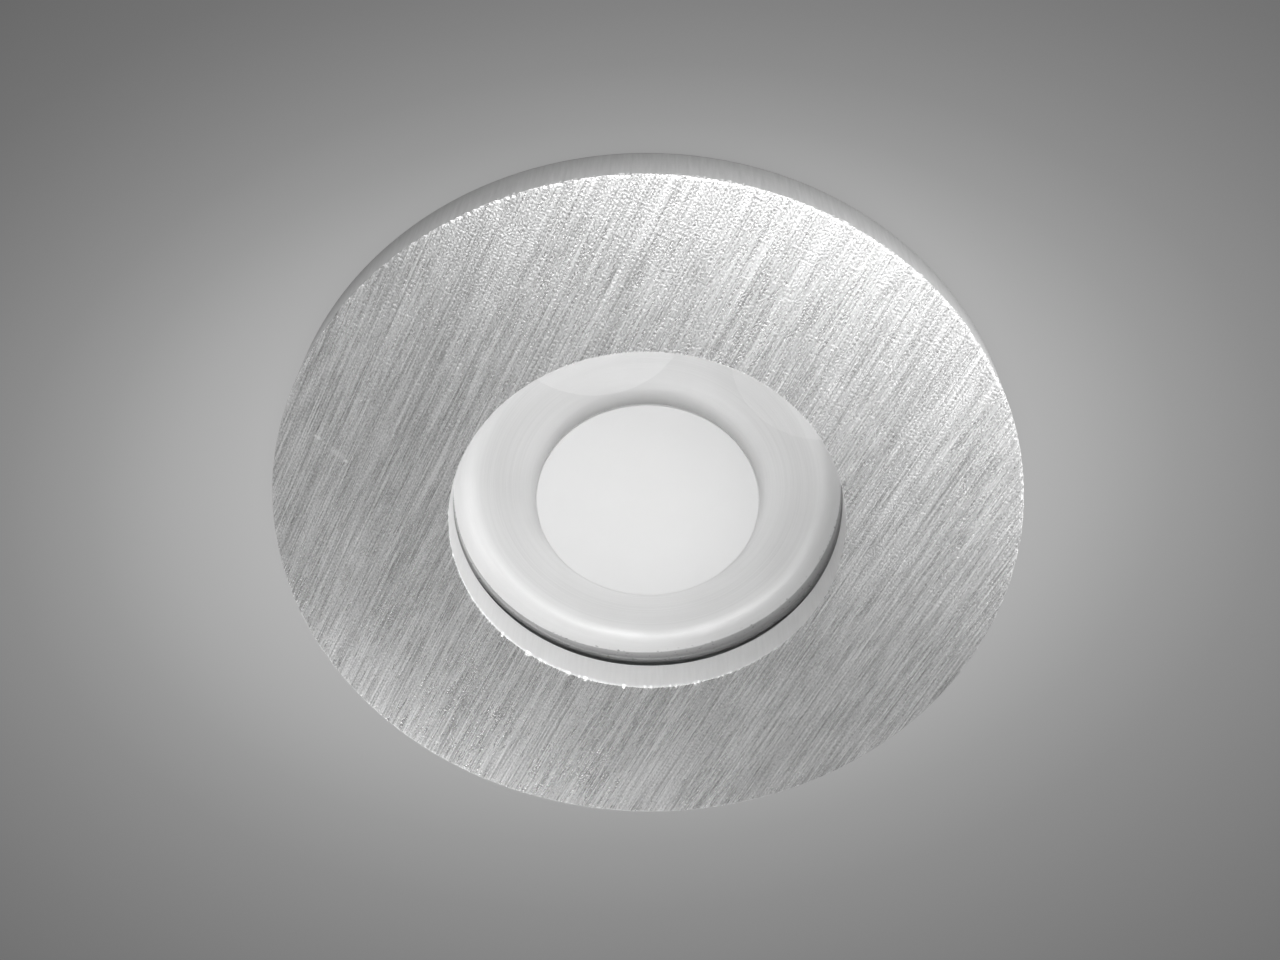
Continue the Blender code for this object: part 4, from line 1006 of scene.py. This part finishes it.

# %% [markdown]
# ## Torsion springs
#
# Each spring is one wire: down the bracket's web, three and a half turns round the rivet, and
# out over the arm. A Geometry Nodes tree sweeps a circle along the wire's middle line. The clip
# turns one end of the spring.


# %% The tree that draws a wire along a path
spring_look = plain_finish(
    "spring_steel", cloud=(1.5, 3, 0.35, 0.65), tones=(0.34, (0.52, 0.52, 0.51)),
    grain=((0.5, 0.06, 0.5), 3), rough=(0.20, 0.34), depth=0.006, constants={"Metallic": 1.0},
)


def wire_tree():
    sockets = {"Path": "Geometry", "Wire radius": "Float", "Sides": "Int", "Finish": "Material"}
    group, start, end = group_with("wire_along_path", sockets)
    inputs = {"Resolution": start.outputs["Sides"], "Radius": start.outputs["Wire radius"]}
    circle = add(group, "GeometryNodeCurvePrimitiveCircle", inputs)
    path = start.outputs["Path"]
    inputs = {"Curve": path, "Profile Curve": circle.outputs[0], "Fill Caps": True}
    swept = add(group, "GeometryNodeCurveToMesh", inputs)
    smooth = add(group, "GeometryNodeSetShadeSmooth", {0: swept.outputs[0]})
    painted(group, smooth.outputs[0], start, end)
    return group


wire_along_path = wire_tree()
print("trees:", screws_on_points.name, wire_along_path.name)

# %% Springs
SPRING_RADIUS = 2.8 * MM
SPRING_TURNS = 3.5
SPRING_PITCH = 1.5 * MM
WIRE_RADIUS = 0.5 * MM
UPPER_LEG = 8.0 * MM
ARM_LEG = 7.8 * MM
LEG_HEIGHT = 2.6 * MM  # of the leg's middle line over the arm, above the rivet's axis
LEG_BEND = 1.0 * MM


def spring_path(leg_steps=6, coil_steps=140, bend_steps=8):
    """The wire's middle line in the clip's own frame: x outward, y along the rivet."""
    half = SPRING_TURNS * SPRING_PITCH / 2
    rises = [UPPER_LEG * (1 - step / leg_steps) for step in range(leg_steps)]
    points = [Vector((-SPRING_RADIUS, -half, rise)) for rise in rises]
    for step in range(coil_steps + 1):
        done = step / coil_steps
        angle = math.pi + FULL_TURN * SPRING_TURNS * done
        x, z = SPRING_RADIUS * math.cos(angle), SPRING_RADIUS * math.sin(angle)
        points.append(Vector((x, -half + 2 * half * done, z)))
    middle_x, middle_z = SPRING_RADIUS + LEG_BEND, LEG_HEIGHT - LEG_BEND
    for step in range(bend_steps + 1):
        angle = math.radians(180 - 90 * step / bend_steps)
        x, z = middle_x + LEG_BEND * math.cos(angle), middle_z + LEG_BEND * math.sin(angle)
        points.append(Vector((x, half, z)))
    points.append(Vector((ARM_LEG, half, LEG_HEIGHT)))
    return points


def make_spring(side, way):
    low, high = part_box(f"clip_pin_{side}")
    middle = (low + high) / 2
    place = Matrix.Translation(middle)
    if way < 0:
        place = place @ Matrix.Rotation(math.pi, 4, "Z")
    curve = bpy.data.curves.new(f"spring_path_{side}", "CURVE")
    curve.dimensions = "3D"
    points = [place @ point for point in spring_path()]
    spline = curve.splines.new("POLY")
    spline.points.add(len(points) - 1)
    for knot, point in zip(spline.points, points):
        knot.co = (*point, 1.0)
    source = new_object(f"spring_path_{side}", curve)
    values = {"Wire radius": WIRE_RADIUS, "Sides": 20, "Finish": spring_look}
    spring = grown(f"torsion_spring_{side}", source, wire_along_path, values)
    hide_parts(f"clip_spring_{side}")
    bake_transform(spring)
    length = sum((b - a).length for a, b in zip(points, points[1:]))
    print(f"{spring.name}: {length / MM:.1f} mm of wire, {len(spring.data.polygons)} faces")


for side, way in SIDES:
    make_spring(side, way)

# %% [markdown]
# ## Foam gasket
#
# The gasket is punched from closed-cell foam. Its face is slightly wavy and full of cells,
# so its points move a little and the finish has round pores of two sizes.


# %% Foam
def make_foam():
    look, tree, shader, place = new_look("grey_foam")
    pores = cells(tree, place, 0.45, "Distance")
    fine = grained(tree, place, 0.2, 3.0)
    bumped(tree, shader, summed(tree, (fine, 0.5), (pores, -0.7)), 0.12 * MM)
    # Painted shade: the grooves between the cells, where the bump is lowest, are painted darker.
    tone = remapped(tree, pores, 0.1, 0.7, 1.0, 0.0)
    wire(tree, shader, {
        "Base Color": mixed(tree, tone, (0.12, 0.12, 0.123), (0.27, 0.27, 0.274)),
        "Roughness": remapped(tree, fine, 0.3, 0.7, 0.8, 0.95),
    })
    return look


FOAM_INNER = 39.4 * MM
FOAM_WAVE = 0.10 * MM  # how deep its face sinks at most
low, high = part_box("ceiling_gasket")
foam_face = high.z - 0.02 * MM
foam_outline = [
    (FOAM_INNER, low.z),
    (high.x - 0.1 * MM, low.z),
    (high.x, low.z + 0.3 * MM),
    (high.x, high.z - 0.3 * MM),
    *[(high.x - step * MM, foam_face) for step in (0.25, 1.4, 2.8)],
    (FOAM_INNER + 0.25 * MM, foam_face),
    (FOAM_INNER, high.z - 0.3 * MM),
]
foam_ring = turned("foam_ring", foam_outline, segments=288)
chance = np.random.default_rng(11)
for vertex in foam_ring.data.vertices:
    if vertex.co.z > high.z - 0.05 * MM:
        vertex.co.z -= FOAM_WAVE * chance.random() ** 2
set_look(foam_ring, make_foam())
fitted(foam_ring, "lamp", "grey_foam", "ceiling_gasket")

# %% [markdown]
# ## Cable gland
#
# The gland is moulded nylon: an even fine grain from the mould, slightly shiny where it has
# been gripped. Its rubber seal shows in the mouth.


# %% Nylon
def make_nylon(name, tones, rough):
    return plain_finish(
        name, cloud=((3, 3, 5), 3, 0.35, 0.65), tones=tones, grain=(0.16, 2),
        rough=(rough, rough + 0.14), depth=0.014,
    )


nylon = make_nylon("black_nylon", ((0.018, 0.018, 0.019), (0.032, 0.032, 0.033)), 0.36)
nylon_edge = make_nylon("black_nylon_edge", ((0.04, 0.04, 0.041), 0.06), 0.28)
moulded = {"slot": "black_nylon", "looks": (nylon, nylon_edge), "rounding": 0.18 * MM}
for name, node in (("gland_base", "gland_body"), ("gland_cap", "gland_nut")):
    refined(name, node, "lamp", **moulded, steps=3)
refined("cord_grommet", "gland_seal", "lamp", "black_rubber", (rubber,), 0.15 * MM, steps=3)

# %% [markdown]
# ## The light source
#
# Board, emitter and heat pad are hidden behind the dish. They keep the model's shape and get
# their finishes: white lacquer, yellow phosphor under clear resin, and soft blue-grey pad.


# %% Board, emitter and pad
board_look = plain_finish(
    "white_board", cloud=(4, 3, 0.4, 0.7), tones=((0.86, 0.86, 0.84), (0.76, 0.75, 0.71)),
    grain=(0.5, 2), rough=(0.32, 0.46), depth=0.01,
)
phosphor = plain_finish(
    "led_phosphor", cloud=(0.1, 3, 0.3, 0.7), tones=((0.82, 0.70, 0.36), (0.92, 0.82, 0.50)),
    grain=(0.1, 3), rough=(0.35, 0.55), depth=0.01,
    constants={"Coat Weight": 0.6, "Coat Roughness": 0.08},
)
pad_look = plain_finish(
    "thermal_pad", cloud=(0.3, 4, 0.3, 0.7), tones=((0.36, 0.46, 0.56), (0.48, 0.58, 0.68)),
    grain=(0.3, 4), rough=(0.72, 0.9), depth=0.03,
)
hidden = {"led_board": board_look, "led_emitter": phosphor, "thermal_pad": pad_look}
for node, look in hidden.items():
    set_look(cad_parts[node], look)
    print(f"{node}: {look.name}")

# %% [markdown]
# ## The ceiling
#
# The lamp is pictured in its ceiling, a grey panel with a round hole that the ring covers.
# A pool of light is painted round the lamp: the panel's grey, and a glow that only the camera
# sees, get darker away from the lamp. Its upper side lets everything through, so the body can
# be seen from above.


# %% Panel
# A painted pool of light round the lamp: its middle, size and turn, and how its grey falls off.
GLOW_MIDDLE = (-5.26 * MM, -4.70 * MM, 0.0)
GLOW_REACH = (76.06 * MM, 58.22 * MM, 1.0)
GLOW_TURN = -0.1638
GLOW_LEAN = (0.721, 3.418, 0.0)  # per metre: the far side falls off more slowly
GLOW_SHARE = 0.85
GLOW_STRENGTH = 0.92
GLOW_STEPS = (  # distance from the middle and grey
    (0.0, 0.56), (0.6, 0.4773), (0.75, 0.4028), (0.9, 0.3191), (1.05, 0.2598),
    (1.2, 0.2223), (1.35, 0.1918), (1.5, 0.1674), (1.8, 0.1389), (2.0, 0.13),
)


def make_ceiling_finish():
    look, tree, shader, place = new_look("ceiling_grey")
    reach = reach_in(tree, place, GLOW_MIDDLE, GLOW_TURN, GLOW_REACH)
    lean = vector_maths(tree, "DOT_PRODUCT", place, GLOW_LEAN).outputs[1]
    lean = maths(tree, "MAXIMUM", maths(tree, "ADD", lean, 1.0), 0.5)
    reach = maths(tree, "DIVIDE", reach, lean)
    furthest = GLOW_STEPS[-1][0]
    ramp = add(tree, "ShaderNodeValToRGB", {0: maths(tree, "DIVIDE", reach, furthest)})
    while len(ramp.color_ramp.elements) < len(GLOW_STEPS):
        ramp.color_ramp.elements.new(0.5)
    for element, (position, grey) in zip(ramp.color_ramp.elements, GLOW_STEPS):
        element.position = position / furthest
        element.color = rgba(grey)
    wire(tree, shader, {"Base Color": ramp.outputs[0], "Roughness": 0.8})
    # Painted light: the panel glows with the same grey for the camera.
    glow = add(tree, "ShaderNodeEmission", {"Color": ramp.outputs[0], "Strength": GLOW_STRENGTH})
    ray = tree.nodes.new("ShaderNodeLightPath")
    shown = maths(tree, "MULTIPLY", ray.outputs["Is Camera Ray"], GLOW_SHARE)
    side = tree.nodes.new("ShaderNodeNewGeometry")
    clear = tree.nodes.new("ShaderNodeBsdfTransparent")
    front = either(tree, shown, shader, glow)
    show(tree, either(tree, side.outputs["Backfacing"], front, clear))
    return look


def make_ceiling(half_size=1.6, steps=96):
    """A square panel facing down, with a round hole."""
    bm = bmesh.new()
    inner, outer = [], []
    height = CEILING + 0.02 * MM
    for step in range(steps):
        angle = FULL_TURN * step / steps
        c, s = math.cos(angle), math.sin(angle)
        inner.append(bm.verts.new((PANEL_HOLE * c, PANEL_HOLE * s, height)))
        stretch = half_size / max(abs(c), abs(s))
        outer.append(bm.verts.new((stretch * c, stretch * s, height)))
    for here in range(steps):
        there = (here + 1) % steps
        bm.faces.new([inner[here], inner[there], outer[there], outer[here]])
    mesh = bpy.data.meshes.new("ceiling")
    bm.to_mesh(mesh)
    bm.free()
    if mesh.polygons[0].normal.z > 0:
        mesh.flip_normals()
    return new_object("ceiling", mesh)


ceiling = make_ceiling()
set_look(ceiling, make_ceiling_finish())
ceiling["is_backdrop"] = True
print("ceiling: hole radius", round(PANEL_HOLE / MM, 1), "mm")

# %% [markdown]
# ## Camera
#
# The camera looks up at the ring from one side. Its place comes from fitting the outlines of
# the ring, the bore and the frosted disc.


# %% Camera
CAMERA_LENS = 45.75
CAMERA_PLACE = (2.131 * MM, -105.916 * MM, -165.115 * MM)
CAMERA_AXES = (  # its right, up and back
    (0.99987377, 0.00423471, 0.01531387),
    (-0.00423471, -0.85793772, 0.51373625),
    (0.01531387, -0.51373625, -0.85781149),
)
data = bpy.data.cameras.new("studio_camera")
data.sensor_width = 36.0
data.lens = CAMERA_LENS
data.clip_start = 0.005
data.clip_end = 20.0
camera = new_object("studio_camera", data)
turn = Matrix(CAMERA_AXES).transposed().to_4x4()
camera.matrix_world = Matrix.Translation(CAMERA_PLACE) @ turn
bpy.context.scene.camera = camera
print("camera: lens", CAMERA_LENS, "mm,", round(Vector(CAMERA_PLACE).length / MM), "mm away")

# %% [markdown]
# ## Light
#
# Plain soft studio light: nine softboxes under the ceiling, two above it for views of the body,
# and one grey world. Three of the lower ones stand low beside the lamp, since they are what
# the brushed face mirrors towards the camera.


# %% Lamps and world
LAMP_DISTANCE = 0.8


def softbox(name, direction, size, power):
    """A round area lamp that faces the ring and isn't seen itself."""
    data = bpy.data.lights.new(name, "AREA")
    data.shape = "DISK"
    data.size = size
    data.energy = power
    lamp = new_object(name, data)
    lamp.visible_camera = False
    place = Vector(direction).normalized() * LAMP_DISTANCE
    turn = place.to_track_quat("Z", "Y").to_matrix().to_4x4()
    lamp.matrix_world = Matrix.Translation(place) @ turn


WORLD_STRENGTH = 0.367
WORLD_SEEN = 0.42  # the grey that the camera sees of it
SOFTBOXES = (  # name, the way to it from the ring, size and power
    ("overhead", (-0.01, -0.17, -0.99), 0.6, 2.94),
    ("overhead_right", (0.23, -0.09, -0.97), 0.6, 0.36),
    ("right", (0.74, 0.40, -0.54), 0.6, 1.84),
    ("far", (-0.25, 0.91, -0.32), 0.6, 3.44),
    ("low_right", (0.985, 0.0, -0.17), 0.6, 3.4),
    ("low_corner", (0.70, -0.70, -0.17), 0.6, 4.2),
    ("low_near", (0.0, -0.985, -0.17), 0.6, 3.9),
    ("glint_left", (-0.10, 0.20, -0.98), 0.25, 0.22),
    ("glint_right", (0.27, 0.27, -0.92), 0.25, 0.14),
    ("above_left", (-0.80, -0.70, 0.90), 0.4, 2.4),
    ("above_right", (0.90, 0.50, 0.80), 0.4, 1.1),
)
for name, direction, size, power in SOFTBOXES:
    softbox(name, direction, size, power)
world = bpy.data.worlds.new("studio_world")
bpy.context.scene.world = world
world.use_nodes = True
tree = world.node_tree
tree.nodes.clear()
lit = add(tree, "ShaderNodeBackground", {"Color": rgba(1.0), "Strength": WORLD_STRENGTH})
seen = add(tree, "ShaderNodeBackground", {"Color": rgba(WORLD_SEEN), "Strength": 1.0})
ray = tree.nodes.new("ShaderNodeLightPath")
mix = either(tree, ray.outputs["Is Camera Ray"], lit, seen)
add(tree, "ShaderNodeOutputWorld", {0: mix.outputs[0]})
print(len(SOFTBOXES), "softboxes and a grey world")

# %% Finish
low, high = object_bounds()
print("visual box:", [round(value / MM, 2) for value in (*low, *high)])
bpy.context.scene.view_settings.view_transform = "Standard"
